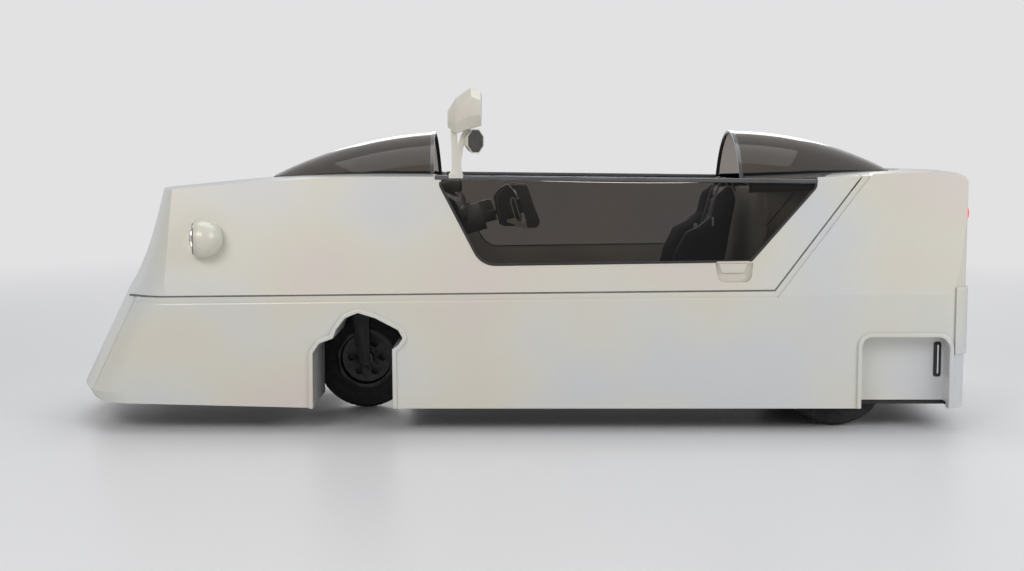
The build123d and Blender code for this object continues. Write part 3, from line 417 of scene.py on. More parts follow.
def loft(sections):
    """Verts and faces of a closed skin over rings with equal point counts."""
    verts = [p for section in sections for p in section]
    n = len(sections[0])
    faces = []
    for i in range(len(sections) - 1):
        for j in range(n):
            k = (j + 1) % n
            faces.append((i * n + j, i * n + k, (i + 1) * n + k, (i + 1) * n + j))
    faces.append(tuple(range(n)))
    faces.append(tuple((len(sections) - 1) * n + j for j in reversed(range(n))))
    return verts, faces


def revolve(profile, centre, axis, turns=64, ripple=None):
    """A profile of (along, radius) turned about an axis. ripple(angle, along, radius) changes the radius."""
    axis = Vector(axis).normalized()
    side = axis.orthogonal().normalized()
    other = axis.cross(side)
    centre = Vector(centre)
    verts, faces, n = [], [], len(profile)
    for i in range(turns):
        angle = 2 * math.pi * i / turns
        out = side * math.cos(angle) + other * math.sin(angle)
        for along, radius in profile:
            verts.append(centre + axis * along + out * (ripple(angle, along, radius) if ripple else radius))
    for i in range(turns):
        k = (i + 1) % turns
        for j in range(n - 1):
            faces.append((i * n + j, i * n + j + 1, k * n + j + 1, k * n + j))
    return verts, faces


def tube(name, points, radius, mat, body, cyclic=False, smooth_line=True):
    """A round bar along a smooth line."""
    curve = bpy.data.curves.new(name, "CURVE")
    curve.dimensions = "3D"
    curve.bevel_depth, curve.bevel_resolution, curve.use_fill_caps = radius, 3, not cyclic
    spline = curve.splines.new("NURBS" if smooth_line else "POLY")
    spline.points.add(len(points) - 1)
    for p, q in zip(spline.points, points):
        p.co = (*q, 1)
    spline.use_cyclic_u = cyclic
    if smooth_line:
        spline.order_u, spline.use_endpoint_u, spline.resolution_u = 3, not cyclic, 4
    obj = bpy.data.objects.new(name, curve)
    bpy.context.collection.objects.link(obj)
    return finish_piece(obj, mat, body)


def box_mesh(lo, hi):
    """A box between two corners."""
    (x0, y0, z0), (x1, y1, z1) = lo, hi
    verts = [(x0, y0, z0), (x1, y0, z0), (x1, y1, z0), (x0, y1, z0),
             (x0, y0, z1), (x1, y0, z1), (x1, y1, z1), (x0, y1, z1)]
    return verts, [(0, 3, 2, 1), (4, 5, 6, 7), (0, 1, 5, 4), (1, 2, 6, 5), (2, 3, 7, 6), (3, 0, 4, 7)]


def joined(*meshes):
    """Several (verts, faces) as one."""
    verts, faces = [], []
    for part_verts, part_faces in meshes:
        faces += [tuple(i + len(verts) for i in face) for face in part_faces]
        verts += [tuple(v) for v in part_verts]
    return verts, faces


def placed(mesh, origin, along, up=(0, 0, 1)):
    """A mesh drawn with x along and z up, turned and moved into place."""
    x = Vector(along).normalized()
    y = Vector(up).cross(x).normalized()
    z = x.cross(y)
    verts, faces = mesh
    return [Vector(origin) + x * v[0] + y * v[1] + z * v[2] for v in verts], faces


def prism(points, y0, y1):
    """A polygon in x and z, between two y."""
    return loft([[(x, y, z) for x, z in points] for y in (y0, y1)])


def rounded_polygon(points, radii, steps=6):
    """Points round a closed polygon with rounded corners, in two dimensions."""
    out = []
    for i, p in enumerate(points):
        p = Vector(p)
        a, b = Vector(points[i - 1]), Vector(points[(i + 1) % len(points)])
        u, v = (a - p).normalized(), (b - p).normalized()
        half = u.angle(v) / 2
        r = radii[i] if not isinstance(radii, (int, float)) else radii
        if r <= 0:
            out.append(tuple(p))
            continue
        back = r / math.tan(half)
        centre = p + (u + v).normalized() * (r / math.sin(half))
        start, end = p + u * back - centre, p + v * back - centre
        turn = start.angle_signed(end)
        for k in range(steps + 1):
            a = -turn * k / steps
            c, s = math.cos(a), math.sin(a)
            out.append((centre.x + start.x * c - start.y * s, centre.y + start.x * s + start.y * c))
    return out


def mirrored(mesh):
    """The same piece on the car's other side."""
    verts, faces = mesh
    return [(v[0], -v[1], v[2]) for v in verts], [tuple(reversed(face)) for face in faces]


def both_sides(mesh):
    """A piece and its mirror image as one."""
    return joined(mesh, mirrored(mesh))


def skin_of(*names):
    """A search tree over some CAD pieces, to find where a line meets them."""
    bm = bmesh.new()
    for name in names:
        bm.from_mesh(nodes[name].data)
    tree = BVHTree.FromBMesh(bm)
    bm.free()
    return tree


def skin_y(tree, x, z):
    """Where a line across the car first meets the skin from the left, or None."""
    hit = tree.ray_cast(Vector((x, -0.7, z)), Vector((0, 1, 0)))[0]
    return hit.y if hit else None


# -------------------------------------------- tyres, wheels, brake
TYRE_R, BEAD_R = 0.1995, 0.112
GROOVES = (-0.024, -0.008, 0.008, 0.024)
GROOVE_HALF, GROOVE_DEPTH = 0.0022, 0.0045
BLOCKS, STEPS_PER_BLOCK = 60, 6


def tyre_profile():
    """The tyre's section from bead to bead, as (along the axle, radius)."""
    side = [(0.038, BEAD_R), (0.0405, 0.117), (0.044, 0.120), (0.0452, 0.124), (0.0445, 0.128),
            (0.0485, 0.146), (0.0498, 0.158), (0.0499, 0.161), (0.0485, 0.1625), (0.0482, 0.170),
            (0.0455, 0.181), (0.0460, 0.184), (0.0405, 0.1915), (0.0345, 0.1955)]
    tread = [(0.0335, 0.1960)]
    for middle in sorted(GROOVES, reverse=True):
        for step, deep in ((1.25, 0), (1, 1), (-1, 1), (-1.25, 0)):
            along = middle + GROOVE_HALF * step
            tread.append((along, TYRE_R - 2.4 * along**2 - GROOVE_DEPTH * deep))
    tread.append((-0.0335, 0.1960))
    return [*side, *tread, *((-along, radius) for along, radius in reversed(side))]


def tread_blocks(angle, along, radius):
    """Cuts between the shoulder blocks, staggered from side to side."""
    if radius < 0.190 or abs(along) < 0.0265:
        return radius
    turn = (angle / (2 * math.pi) * BLOCKS + (0.5 if along > 0 else 0)) % 1
    return radius - (0.0035 if turn < 1.5 / STEPS_PER_BLOCK else 0)


def hex_bolt(origin, along, size=0.007, height=0.005):
    """A six sided head on a washer, standing along an axis."""
    ring = [(math.cos(math.radians(60 * i)) * size, math.sin(math.radians(60 * i)) * size) for i in range(6)]
    head = loft([[(0, y, z) for y, z in ring], [(height * 0.8, y, z) for y, z in ring],
                 [(height, y * 0.85, z * 0.85) for y, z in ring]])
    rim = size * 1.3
    washer = revolve([(0, 0.0), (0.0012, 0.0), (0.0012, rim), (0, rim)], (0, 0, 0), (1, 0, 0), 20)
    up = (0, 0, 1) if abs(along[2]) < 0.5 else (1, 0, 0)
    return placed(joined(head, washer), origin, along, up)


def disc_slots(angle, _, radius):
    """Sixteen shallow notches in the brake disc's rim."""
    return radius - (0.002 if radius > 0.08 and (angle * 16 / math.pi) % 1 < 0.3 else 0)


def dress_wheels():
    for name in ("front", "rear_left", "rear_right"):
        low, high = (Vector(c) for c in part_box(f"tyre_{name}"))
        centre = (low + high) / 2
        body = BODY_OF[f"tyre_{name}"]
        verts, faces = revolve(tyre_profile(), centre, (0, 1, 0), BLOCKS * STEPS_PER_BLOCK, tread_blocks)
        piece(f"tyre_{name}_tread", verts, faces, "tyre", body, replaced=(f"tyre_{name}",))
        softened(f"rim_{name}", 0.0012, 2)
        bolts = []
        for side in (-1, 1):
            for turn in range(6):
                angle = math.radians(30 + 60 * turn)
                at = centre + Vector((0.045 * math.cos(angle), side * 0.008, 0.045 * math.sin(angle)))
                bolts.append(hex_bolt(at, (0, side, 0)))
        piece(f"wheel_bolts_{name}", *joined(*bolts), "black_steel", body, slot="grey_steel")
        cap = [(0.040, 0.0125), (0.043, 0.014), (0.0435, 0.020), (0.042, 0.026), (0.0395, 0.028)]
        caps = joined(*(revolve(cap, centre, (0, side, 0), 40) for side in (-1, 1)))
        piece(f"hub_ring_{name}", *caps, "dark_trim", body)
        stem = [centre + Vector(p) for p in ((0.106, 0.028, 0), (0.099, 0.036, 0), (0.093, 0.046, 0))]
        tube(f"valve_{name}", stem, 0.0035, "dark_plastic", body)
    low, high = (Vector(c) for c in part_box("tyre_front"))
    centre = (low + high) / 2
    disc = revolve([(0.0505, 0.052), (0.0505, 0.088), (0.0545, 0.088), (0.0545, 0.052), (0.0505, 0.052)],
                   centre, (0, 1, 0), 96, disc_slots)
    carrier = revolve([(0.0400, 0.020), (0.0515, 0.030), (0.0515, 0.056), (0.0535, 0.056), (0.0535, 0.024)],
                      centre, (0, 1, 0), 48)
    piece("brake_disc", *joined(disc, carrier), "grey_steel", "wheel_front")
    x, z = centre.x - 0.070, centre.z + 0.045
    caliper = prism(rounded_polygon([(x - 0.024, z - 0.030), (x + 0.045, z - 0.034), (x + 0.045, z + 0.030),
                                     (x - 0.014, z + 0.034)], 0.008), 0.0475, 0.0665)
    piece("brake_caliper", *caliper, "dark_trim", "fork", bevel=0.002)


# -------------------------------------------- fork, steering head, hinges
def dress_front_end():
    softened("front_fork", 0.003)
    softened("steering_head", 0.002)
    softened("hinge_bracket", 0.002)
    softened("hinge_lugs", 0.002)
    low, high = (Vector(c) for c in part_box("steering_head"))
    head_x = (low.x + high.x) / 2
    nut = [(0.0, 0.0), (0.004, 0.0), (0.004, 0.018), (0.0, 0.018)]
    piece("head_nut", *revolve(nut, (head_x, 0, high.z), (0, 0, 1), 6), "chrome", "fork", smooth=False)
    bolts = []
    for turn in range(6):
        angle = math.radians(60 * turn)
        at = (head_x + 0.040 * math.cos(angle), 0.040 * math.sin(angle), low.z + 0.012)
        bolts.append(hex_bolt(at, (0, 0, 1), 0.005, 0.004))
    piece("head_bolts", *joined(*bolts), "chrome", "chassis", slot="chrome")
    pins = [hex_bolt((-1.595, side * end, 0.150), (0, way, 0), 0.008, 0.006)
            for side in (-1, 1) for end, way in ((0.238, side), (0.162, -side))]
    piece("hinge_pins", *joined(*pins), "chrome", "chassis", slot="chrome")


# -------------------------------------------- headlamps
LAMP_AT, LAMP_TURN = Vector((-1.141, -0.526, 0.711)), math.radians(12)
LAMP_AXIS = Vector((-math.cos(LAMP_TURN), -math.sin(LAMP_TURN), 0))
RING_AT = 0.036
POD_R = 0.070


def flutes(angle, along, radius):
    """Soft flutes round the reflector."""
    return radius - 0.0006 * (1 + math.cos(24 * angle)) * (radius > 0.02) * (along < 0.03)


def dress_lamps():
    bowl = [(0.0025, 0.004), (0.003, 0.016), (0.006, 0.026), (0.014, 0.038), (0.024, 0.046), (0.0322, 0.0490),
            (0.0322, 0.0495), (0.022, 0.0475), (0.004, 0.040), (0.0022, 0.004)]
    bowls = revolve(bowl, LAMP_AT, LAMP_AXIS, 72, flutes)
    piece("lamp_bowls", *both_sides(bowls), "chrome", "canopy", slot="chrome")
    bulb = [(0.003, 0.0), (0.003, 0.007), (0.012, 0.007), (0.014, 0.010), (0.020, 0.0115), (0.026, 0.009),
            (0.029, 0.004), (0.0295, 0.0)]
    # painted highlights: a small glowing bead above and below each bulb, behind the lens, stands for the
    # lens's two bright glints
    highlight_bead = [(0.034, 0.0), (0.035, 0.0045), (0.040, 0.0065), (0.0430, 0.0058), (0.0448, 0.0035), (0.0453, 0.0)]
    highlight_beads = [revolve(highlight_bead, LAMP_AT + Vector((0, 0, z)), LAMP_AXIS, 24) for z in (0.021, -0.021)]
    glowing_parts = joined(revolve(bulb, LAMP_AT, LAMP_AXIS, 32), *highlight_beads)
    piece("lamp_bulbs_and_highlights", *both_sides(glowing_parts), "lit_bulb", "canopy", slot="lamp_glass")
    bezel = [(RING_AT - 0.002, 0.0582), (RING_AT + 0.0030, 0.0582), (RING_AT + 0.0048, 0.0568),
             (RING_AT + 0.0052, 0.0545), (RING_AT + 0.0040, 0.0518), (RING_AT + 0.0022, 0.0500),
             (RING_AT - 0.002, 0.0500), (RING_AT - 0.002, 0.0582)]
    bezels = both_sides(revolve(bezel, LAMP_AT, LAMP_AXIS, 96))
    piece("lamp_bezels", *bezels, "dark_chrome", "canopy", slot="chrome")
    ribs = []
    for along in (0.0245, 0.0285, 0.0325):
        radius = math.sqrt(POD_R**2 - along**2)
        rib = [(along - 0.0010, radius - 0.001), (along - 0.0008, radius + 0.0011),
               (along + 0.0008, radius + 0.0008), (along + 0.0010, radius - 0.001)]
        ribs.append(revolve(rib, LAMP_AT, LAMP_AXIS, 96))
    piece("lamp_ribs", *both_sides(joined(*ribs)), "pearl_white", "canopy")


# -------------------------------------------- windows, domes and their seals
WINDOW = [(-0.298, 0.935), (-0.129, 0.614), (0.857, 0.628), (1.131, 0.934)]
WINDOW_CORNER = [0.026, 0.085, 0.026, 0.026]
SEAL_HALF, SEAL_LIFT = 0.0045, 0.0012
RAIL_UNDER = 0.917
SHOULDER_Y = -0.44  # a strip never sinks further in than this
SEAM = [(-1.44, 0.4967), (0.9445, 0.521), (1.222, 0.8777)]
SEAM_HALF, SEAM_DEPTH = 0.0034, 0.0026
DOME_SEALS = {"front": (-0.957, -0.330), "rear": (1.466, 0.858)}  # each dome's tip and open end
DOME_STEPS, DOME_HALF, HOOD_Z = 26, 0.36, 0.87


def seal_strip(tree, line, half, lift, base=0.004):
    """A low crowned strip laid on the body's side along a line in x and z."""
    sections = []
    for i, (x, z) in enumerate(line):
        before, after = Vector(line[max(i - 1, 0)]), Vector(line[min(i + 1, len(line) - 1)])
        out = (after - before).normalized().orthogonal()
        y = skin_y(tree, x + out.x * (half + 0.004), z + out.y * (half + 0.004))
        other = skin_y(tree, x - out.x * (half + 0.004), z - out.y * (half + 0.004))
        y = min(value for value in (y, other, SHOULDER_Y) if value is not None)
        shape = ((-1, -base), (-1, lift * 0.3), (-0.5, lift), (0.5, lift), (1, lift * 0.3), (1, -base))
        sections.append([(x + out.x * half * s, y - up, z + out.y * half * s) for s, up in shape])
    return loft(sections)


def resample(line, spacing):
    """Evenly spaced points along an open line in two dimensions."""
    points = [Vector(p) for p in line]
    out = [tuple(points[0])]
    for a, b in zip(points, points[1:]):
        count = max(1, round((b - a).length / spacing))
        out += [tuple(a.lerp(b, k / count)) for k in range(1, count + 1)]
    return out


def dress_seam():
    """A rubber seal down in the gap between the lid and the lower body."""
    tree = skin_of("canopy_front", "canopy_side_left", "canopy_rear", "body_side_left", "rear_body")
    strip = seal_strip(tree, resample(SEAM, 0.03), SEAM_HALF, -SEAM_DEPTH, base=0.012)
    piece("seam_seals", *both_sides(strip), "seal_grey", "chassis", slot="dark_plastic")


def dome_edge(hood, x):
    """Where a dome's side meets the hood at one x: the first place outwards that lies on the hood."""
    y = 0.0
    while y < DOME_HALF:
        y += 0.002
        hit = hood.ray_cast(Vector((x, y, 1.3)), Vector((0, 0, -1)))[0]
        if hit and hit.z > HOOD_Z:
            return Vector((x, y, hit.z))
    return None


def dress_glass():
    tree = skin_of("canopy_front", "canopy_side_left", "canopy_rear", "side_windows")
    outline = rounded_polygon(WINDOW, WINDOW_CORNER, 8)
    start = max(range(len(outline)), key=lambda i: (outline[i][1] > RAIL_UNDER) * (1 - outline[i][0]))
    line = outline[start:] + outline[:start]
    line = [p for p in line if p[1] < RAIL_UNDER]
    line = resample(line, 0.02)
    strip = seal_strip(tree, line, SEAL_HALF, SEAL_LIFT)
    piece("window_seals", *both_sides(strip), "dark_plastic", "canopy")
    for name, (tip, back) in DOME_SEALS.items():
        hood = skin_of("canopy_front") if name == "front" else skin_of("canopy_rear", "deck_panels")
        edge = [dome_edge(hood, back + (tip - back) * math.sin(i / DOME_STEPS * math.pi / 2))
                for i in range(DOME_STEPS + 1)]
        edge = [p for p in edge if p]
        line = edge + [Vector((p.x, -p.y, p.z)) for p in reversed(edge)]
        tube(f"{name}_dome_seal", line, 0.0035, "dark_plastic", "canopy")
    softened("front_dome_rim", 0.0015)
    softened("rear_dome_rim", 0.0015)


# -------------------------------------------- lips, pulls, mirror, bumper
RECESS_BACK = -0.4605
RECESS_SLOT = (1.548, 1.576, 0.194, 0.325)  # x, x, z, z
RECESS_BAR = (1.560, 1.566, 0.206, 0.314)


def dress_body():
    softened("arch_lips", 0.0035)
    softened("recess_lips", 0.0035)
    softened("door_pulls", 0.002)
    softened("rear_bumper", 0.004)
    softened("mirror_shell", 0.0025, 3)
    softened("mirror_stalk", 0.003, 3)
    softened("mirror_small", 0.0018, 3)
    softened("tow_socket", 0.001)
    x0, x1, z0, z1 = RECESS_SLOT
    frame_line = rounded_polygon([(x0, z0), (x1, z0), (x1, z1), (x0, z1)], 0.009)
    slot = prism(frame_line, RECESS_BACK - 0.004, RECESS_BACK)
    x0, x1, z0, z1 = RECESS_BAR
    bar_line = rounded_polygon([(x0, z0), (x1, z0), (x1, z1), (x0, z1)], 0.0025)
    bar = prism(bar_line, RECESS_BACK - 0.009, RECESS_BACK - 0.003)
    piece("recess_slots", *both_sides(slot), "dark_plastic", "chassis", bevel=0.0015)
    piece("recess_bars", *both_sides(bar), "chrome", "chassis", bevel=0.001, slot="chrome")


# -------------------------------------------- tail: lamps, plate, socket
def dress_tail():
    y, z, radius = 0.400, 0.799, 0.024
    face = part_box("tail_lamps")[1][0]
    lens = [(-0.001, radius - 0.001)]
    lens += [(0.0002 + 0.0006 * (k % 2), radius * (1 - k / 14)) for k in range(1, 14)]
    lens.append((0.0008, 0.0))
    lenses = [revolve(lens, (face, side * y, z), (1, 0, 0), 64) for side in (-1, 1)]
    piece("tail_lenses", *joined(*lenses), "red_lamp", "chassis", smooth=False)
    low, high = (Vector(c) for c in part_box("plate"))
    softened("plate", 0.0005)
    edge = 0.004
    line = rounded_polygon([(low.y + edge, low.z + edge), (high.y - edge, low.z + edge),
                            (high.y - edge, high.z - edge), (low.y + edge, high.z - edge)], 0.01)
    points = [(high.x - 0.0005, p[0], p[1]) for p in line]
    tube("plate_border", points, 0.0011, "dark_trim", "chassis", cyclic=True, smooth_line=False)
    screws = []
    for side in (-1, 1):
        at = (high.x - 0.0002, side * 0.085, (low.z + high.z) / 2)
        screws.append(revolve([(0, 0), (0.0022, 0.0), (0.0020, 0.004), (0.0006, 0.0058), (-0.001, 0.006)],
                              at, (1, 0, 0), 24))
    piece("plate_screws", *joined(*screws), "chrome", "chassis", slot="chrome")


# -------------------------------------------- cabin
HUB, TILT = Vector((-0.012, 0, 0.808)), math.radians(16)
COLUMN = Vector((math.cos(TILT), 0, math.sin(TILT)))
COLUMN_UP = Vector((-math.sin(TILT), 0, math.cos(TILT)))


def on_column(along, across, above):
    """A point given from the yoke's hub, along its axis, across the car and above the axis."""
    return HUB + COLUMN * along + Vector((0, across, 0)) + COLUMN_UP * above


def column_box(along, across, above):
    """A box between two places along, across and above the column's axis."""
    verts, faces = box_mesh(*zip(along, across, above))
    return [on_column(*v) for v in verts], faces


# the lever's outline along and above the column's axis
YOKE_LEVER = [(-0.040, -0.041), (-0.006, -0.041), (-0.001, -0.031), (-0.001, -0.046), (0.010, -0.063),
              (0.018, -0.071), (0.036, -0.070), (0.030, -0.096), (-0.006, -0.077), (-0.023, -0.061),
              (-0.039, -0.050)]


# an upside-down U hooked over the crossbar, and a seam near the pod's edge
YOKE_WIRE = [(-0.004, -0.041), (-0.005, 0.010), (-0.002, 0.031), (0.004, 0.0375), (0.010, 0.0375),
             (0.0145, 0.031), (0.0150, 0.010), (0.0135, -0.052)]
YOKE_STITCH = [(-0.062, -0.030), (-0.058, 0.050), (-0.042, 0.070), (-0.004, 0.086)]


def dress_yoke():
    softened("yoke", 0.006, 4)
    face = joined(*(column_box((0.0430, 0.0462), (y - 0.009, y + 0.009), (z - 0.006, z + 0.006))
                    for y in (-0.055, 0.0, 0.055) for z in (0.010, -0.014)))
    piece("yoke_buttons", *face, "dark_trim", "yoke", bevel=0.0015)
    dome = [(0.006, 0.0), (0.006, 0.014), (0.003, 0.018), (-0.006, 0.018)]
    boss = revolve(dome, on_column(0.0205, 0, 0.045), COLUMN, 40)
    piece("yoke_boss", *boss, "chrome", "yoke", slot="chrome")
    for side, hand in ((-1, "left"), (1, "right")):
        points = [on_column(along, side * 0.1035, above) for along, above in YOKE_WIRE]
        # painted reflection: the metal wire is coloured pale cream to stand for the bright light it reflects
        tube(f"yoke_wire_{hand}", points, 0.0022, "lever_cream", "yoke")
        outline = [[on_column(along, side * y, above) for along, above in YOKE_LEVER] for y in (0.064, 0.072)]
        piece(f"yoke_lever_{hand}", *loft(outline), "lever_cream", "yoke", bevel=0.001, slot="pale_liner")
    for side, hand in ((-1, "left"), (1, "right")):
        seam = [on_column(along, side * 0.0665, above) for along, above in YOKE_STITCH]
        tube(f"yoke_stitch_{hand}", seam, 0.0012, "stitching", "yoke")


DIAL_Y, DIAL_UP = (-0.048, 0.048), 0.016
VENT_FACE, VENT_UP = Vector((0.909, 0, 0.416)), Vector((-0.416, 0, 0.909))
SWITCH_FACE = (0.882, 0, -0.470)


def dress_dash():
    softened("dash", 0.012, 4, angle=0.3)
    softened("steering_column", 0.003)
    rings = [revolve([(at - 0.004, radius - 0.002), (at - 0.003, radius + 0.0012), (at, radius + 0.0016),
                      (at + 0.0015, radius), (at + 0.0015, radius - 0.012)], HUB, COLUMN, 64)
             for at, radius in ((-0.1265, 0.056), (-0.0785, 0.032), (-0.214, 0.056))]
    piece("column_rings", *joined(*rings), "column_grey", "chassis", slot="dark_plastic")
    stalk = [on_column(along, -across, above) for along, across, above in
             ((-0.106, 0.028, 0.010), (-0.098, 0.048, 0.011), (-0.084, 0.060, 0.010), (-0.070, 0.064, 0.010))]
    tube("column_stalk", stalk, 0.0024, "pale_liner", "chassis")
    dress_instruments()
    dress_vents()


def dress_instruments():
    """A hood with two plain dials, on the dash's sloping face."""
    base = Vector((-0.262, 0, 0.868))
    outer, inner = [], []
    for k in range(17):
        angle = math.pi * k / 16
        outer.append((math.cos(angle) * 0.112, math.sin(angle) * 0.050))
        inner.append((math.cos(angle) * 0.106, math.sin(angle) * 0.044))
    hood = []
    for x, grow in ((-0.058, 0.6), (0.0, 0.94), (0.040, 1.0)):
        hood.append([base + Vector((x, y * grow, z * grow)) for y, z in outer])
    lip = [[base + Vector((x, y, z)) for y, z in inner] for x in (0.040, 0.004)]
    piece("instrument_hood", *loft([*hood, *lip]), "dark_plastic", "chassis")
    rims, faces = [], []
    for y in DIAL_Y:
        at = base + Vector((0.006, y, DIAL_UP))
        rims.append(revolve([(0.0, 0.024), (0.006, 0.026), (0.008, 0.0245), (0.006, 0.023), (0.003, 0.023)],
                            at, (1, 0, 0), 48))
        faces.append(revolve([(0.0, 0.024), (0.003, 0.023), (0.003, 0.0)], at, (1, 0, 0), 48))
    piece("dial_rims", *joined(*rims), "chrome", "chassis", slot="chrome")
    piece("dial_faces", *joined(*faces), "dial_face", "chassis", slot="dark_plastic")
    marks = []
    for y in DIAL_Y:
        at = base + Vector((0.0092, y, DIAL_UP))
        for k in range(11):
            angle = math.radians(-40 + 26 * k)
            mark = box_mesh((0.0, -0.0007, 0.0165), (0.0008, 0.0007, 0.0210))
            marks.append(placed(mark, at, (1, 0, 0), (0, -math.cos(angle), math.sin(angle))))
        needle = box_mesh((0.0010, -0.0008, -0.004), (0.0020, 0.0008, 0.017))
        marks.append(placed(needle, at, (1, 0, 0), (0, 0.8, 0.4)))
    piece("dial_marks", *joined(*marks), "pale_liner", "chassis", smooth=False)


def dress_vents():
    """Round vents and a row of switches on the dash."""
    vents, louvres, switches = [], [], []
    for y in (-0.355, -0.235, 0.235, 0.355):
        at = Vector((-0.2015, y, 0.792))
        vents.append(revolve([(-0.004, 0.030), (0.006, 0.030), (0.009, 0.027), (0.008, 0.024),
                              (0.0008, 0.0235), (0.0008, 0.0)], at, VENT_FACE, 48))
        for k in range(-2, 3):
            half = math.sqrt(0.0225**2 - (0.008 * k)**2)
            slat = box_mesh((0.0, -half, -0.0008), (0.007, half, 0.0008))
            louvres.append(placed(slat, at + VENT_UP * 0.008 * k, VENT_FACE, VENT_UP))
    piece("vent_rings", *joined(*vents), "dark_trim", "chassis")
    piece("vent_louvres", *joined(*louvres), "pale_liner", "chassis", smooth=False)
    for k in range(-3, 4):
        at = Vector((-0.2109, 0.028 * k, 0.752))
        switches.append(placed(box_mesh((-0.004, -0.010, -0.014), (0.004, 0.010, 0.014)), at, SWITCH_FACE))
        switches.append(placed(box_mesh((0.002, -0.006, -0.009), (0.008, 0.006, 0.002)), at, SWITCH_FACE))
    piece("dash_switches", *joined(*switches), "dark_trim", "chassis", bevel=0.0012)


def dress_floor():
    pads, ribs = [], []
    for y in (-0.090, 0.040):
        pads.append(box_mesh((-0.318, y - 0.038, 0.147), (-0.313, y + 0.038, 0.253)))
        for k in range(6):
            z = 0.160 + 0.016 * k
            ribs.append(box_mesh((-0.3135, y - 0.032, z), (-0.3105, y + 0.032, z + 0.007)))
    softened("pedals", 0.002)
    piece("pedal_pads", *joined(*pads), "dark_plastic", "chassis", bevel=0.002)
    piece("pedal_ribs", *joined(*ribs), "dark_plastic", "chassis", bevel=0.001)
    floor_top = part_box("floor_pan")[1][2]
    mats = []
    for y0, y1 in ((-0.470, -0.012), (0.012, 0.470)):
        mats.append(box_mesh((-0.355, y0, floor_top), (0.222, y1, floor_top + 0.004)))
    for side in (-1, 1):
        for k in range(30):
            x = -0.335 + 0.0185 * k
            y0, y1 = sorted((side * 0.040, side * 0.445))
            mats.append(box_mesh((x, y0, floor_top + 0.003), (x + 0.009, y1, floor_top + 0.0058)))
    piece("floor_mats", *joined(*mats), "carpet", "chassis", bevel=0.0008, slot="dark_plastic")
    softened("battery_box", 0.008)
    ribs = [box_mesh((0.2255, -0.27 + 0.06 * k, 0.130), (0.2315, -0.25 + 0.06 * k, 0.250)) for k in range(10)]
    piece("battery_ribs", *joined(*ribs), "grey_steel", "chassis", bevel=0.002)


# -------------------------------------------- seat
SEAT_FRAMES = 20


def shade_of(distance, half):
    """1 on a seam's line, falling to 0 at half's distance."""
    return math.exp(-(distance / half)**2)


def stuffed(node, shrink, cap, crease, pressure=4.0, voxel=0.006):
    """A padded piece: its CAD solid, swollen by a short cloth simulation, its seams pressed in afterwards."""
    obj = bpy.data.objects.new(f"{node}_padded", nodes[node].data.copy())
    bpy.context.collection.objects.link(obj)
    mod = obj.modifiers.new("remesh", "REMESH")
    mod.mode, mod.voxel_size = "VOXEL", voxel
    apply_modifiers(obj)
    for vertex in obj.data.vertices:
        vertex.co -= vertex.normal * shrink
    start = [v.co.copy() for v in obj.data.vertices]
    cloth = obj.modifiers.new("cloth", "CLOTH")
    cloth.settings.quality = 5
    cloth.settings.mass = 0.3
    cloth.settings.use_pressure = True
    cloth.settings.uniform_pressure_force = pressure
    cloth.settings.effector_weights.gravity = 0
    cloth.point_cache.frame_start, cloth.point_cache.frame_end = 1, SEAT_FRAMES
    for step in range(1, SEAT_FRAMES + 1):
        bpy.context.scene.frame_set(step)
    apply_modifiers(obj)
    bpy.context.scene.frame_set(1)
    for vertex, was in zip(obj.data.vertices, start):
        move = vertex.co - was
        if move.length > cap:
            vertex.co = was + move.normalized() * cap
    smooth = obj.modifiers.new("smooth", "SMOOTH")
    smooth.factor, smooth.iterations = 0.5, 3
    subdivision = obj.modifiers.new("subdivision", "SUBSURF")
    subdivision.levels = subdivision.render_levels = 1
    apply_modifiers(obj)
    normals = [v.normal.copy() for v in obj.data.vertices]
    for vertex, normal in zip(obj.data.vertices, normals):
        vertex.co -= normal * crease(vertex.co, normal)
    finish_piece(obj, NODE_SLOT[node], BODY_OF[node], (node,))


def base_crease(p, normal):
    """Channels across the cushion and a seam round its top panel."""
    deep = 0.0
    if normal.z > 0.5 and abs(p.y) < 0.118:
        deep = max(0.006 * shade_of(p.x - x, 0.0045) for x in (0.36, 0.44, 0.52, 0.60, 0.68))
    if normal.z > 0.3:
        deep = max(deep, 0.006 * shade_of(abs(p.y) - 0.120, 0.004))
    return deep


def back_crease(p, normal):
    """Channels across the backrest, a seam round its panel and one below the head."""
    deep = 0.0
    if normal.x < -0.5 and abs(p.y) < 0.118:
        deep = max(0.006 * shade_of(p.z - z, 0.0045) for z in (0.48, 0.555, 0.63, 0.705, 0.78))
    if normal.x < -0.3:
        deep = max(deep, 0.006 * shade_of(abs(p.y) - 0.120, 0.004), 0.005 * shade_of(p.z - 0.845, 0.0045))
    return deep


def side_crease(p, normal):
    """A seam along each bolster."""
    return 0.004 * shade_of(abs(p.y) - 0.202, 0.003) if abs(normal.y) < 0.6 else 0.0


# a strap's section, in half widths and half thicknesses
STRAP_SECTION = [(-1, -0.6), (-0.96, -1), (0.96, -1), (1, -0.6), (1, 0.6), (0.96, 1), (-0.96, 1), (-1, 0.6)]


def strap(name, points, width, thick, across):
    """A flat belt along a line, lying at right angles to its normals."""
    sections = []
    for i, p in enumerate(points):
        before, after = Vector(points[max(i - 1, 0)]), Vector(points[min(i + 1, len(points) - 1)])
        way = (after - before).normalized()
        side = Vector(across).normalized()
        side = (side - way * side.dot(way)).normalized()
        up = way.cross(side)
        p = Vector(p)
        sections.append([p + side * width / 2 * a + up * thick / 2 * b for a, b in STRAP_SECTION])
    piece(name, *loft(sections), "webbing", "chassis", slot="seat_leather")


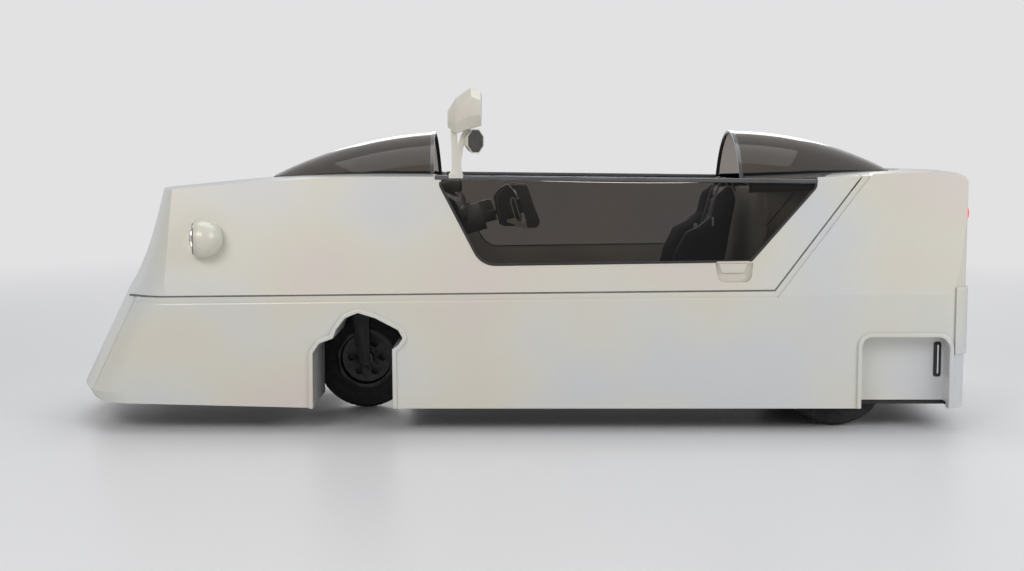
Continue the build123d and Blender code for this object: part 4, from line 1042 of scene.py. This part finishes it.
def smooth_points(points):
    """Points read from a smooth line through a few guides."""
    out = []
    n = len(points)
    guides = [Vector(points[0]), *(Vector(p) for p in points), Vector(points[-1])]
    for i in range(BELT_STEPS + 1):
        at = i / BELT_STEPS * (n - 1)
        k = min(int(at), n - 2)
        t = at - k
        a, b, c, d = guides[k:k + 4]
        cubic = (3 * b - a - 3 * c + d) * t**3
        out.append(0.5 * ((2 * b) + (c - a) * t + (2 * a - 5 * b + 4 * c - d) * t**2 + cubic))
    return out


# the right hand belts, from the backrest's top and from the seat's side to the buckle
SHOULDER_BELT = [(0.862, 0.075, 0.872), (0.842, 0.075, 0.912), (0.803, 0.075, 0.906), (0.742, 0.072, 0.700),
                 (0.703, 0.064, 0.520), (0.684, 0.054, 0.446), (0.650, 0.038, 0.420), (0.600, 0.020, 0.418)]
LAP_BELT = [(0.702, 0.177, 0.404), (0.680, 0.150, 0.416), (0.640, 0.085, 0.418), (0.605, 0.026, 0.417)]
BELT_WIDTH, BELT_STEPS = 0.044, 40
BUCKLE_AT, BUCKLE_FACE = (0.590, 0, 0.412), (0.15, 0, 0.99)


def dress_seat():
    stuffed("seat_base", 0.006, 0.016, base_crease)
    stuffed("seat_back", 0.006, 0.014, back_crease)
    stuffed("seat_sides", 0.005, 0.008, side_crease, 3.0, voxel=0.008)
    for side, hand in ((-1, "left"), (1, "right")):
        shoulder = smooth_points([(x, side * y, z) for x, y, z in SHOULDER_BELT])
        strap(f"belt_shoulder_{hand}", shoulder, BELT_WIDTH, 0.0025, (0, 1, 0))
        lap = smooth_points([(x, side * y, z) for x, y, z in LAP_BELT])
        strap(f"belt_lap_{hand}", lap, BELT_WIDTH, 0.0025, (1, 0, 0.1))
        slider = box_mesh((0.722, side * 0.075 - 0.024, 0.690), (0.735, side * 0.075 + 0.024, 0.735))
        piece(f"belt_slider_{hand}", *slider, "pale_liner", "chassis", bevel=0.003)
    buckle = revolve([(0.0, 0.0), (0.0, 0.030), (0.012, 0.030), (0.017, 0.026), (0.019, 0.012), (0.019, 0.0)],
                     BUCKLE_AT, BUCKLE_FACE, 48)
    piece("belt_buckle", *buckle, "dark_trim", "chassis")
    # painted glow: the buckle's button takes the tail lamps' red, which gives a faint light of its own, though
    # the button is no lamp
    button = revolve([(0.018, 0.0), (0.0225, 0.0), (0.0215, 0.010), (0.018, 0.0115)],
                     BUCKLE_AT, BUCKLE_FACE, 32)
    piece("belt_button", *button, "red_lamp", "chassis")
    hooks = [box_mesh((0.751, y - 0.004, 0.741), (0.759, y + 0.004, 0.776)) for y in (-0.2295, 0.2295)]
    piece("belt_hooks", *joined(*hooks), "lever_cream", "chassis", bevel=0.002, slot="pale_liner")


# -------------------------------------------- underside
def dress_underside():
    softened("motor", 0.012, 4)
    softened("rear_axle", 0.003)
    softened("jack_pads", 0.003)
    softened("wheel_boxes", 0.003)
    low, high = (Vector(c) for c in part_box("motor"))
    fins = []
    for k in range(11):
        x = low.x + 0.02 + 0.0205 * k
        fins.append(box_mesh((x, low.y + 0.02, low.z - 0.010), (x + 0.006, high.y - 0.02, low.z + 0.002)))
    piece("motor_fins", *joined(*fins), "grey_steel", "chassis", bevel=0.001)
    ribs = []
    for y in (-0.25, -0.15, -0.05, 0.05, 0.15, 0.25):
        ribs.append(box_mesh((-0.33, y - 0.014, 0.0865), (0.88, y + 0.014, 0.0915)))
    piece("floor_ribs", *joined(*ribs), "dark_plastic", "chassis", bevel=0.002)


dress_wheels()
dress_front_end()
dress_lamps()
dress_seam()
dress_glass()
dress_body()
dress_tail()
dress_yoke()
dress_dash()
dress_floor()
dress_seat()
dress_underside()
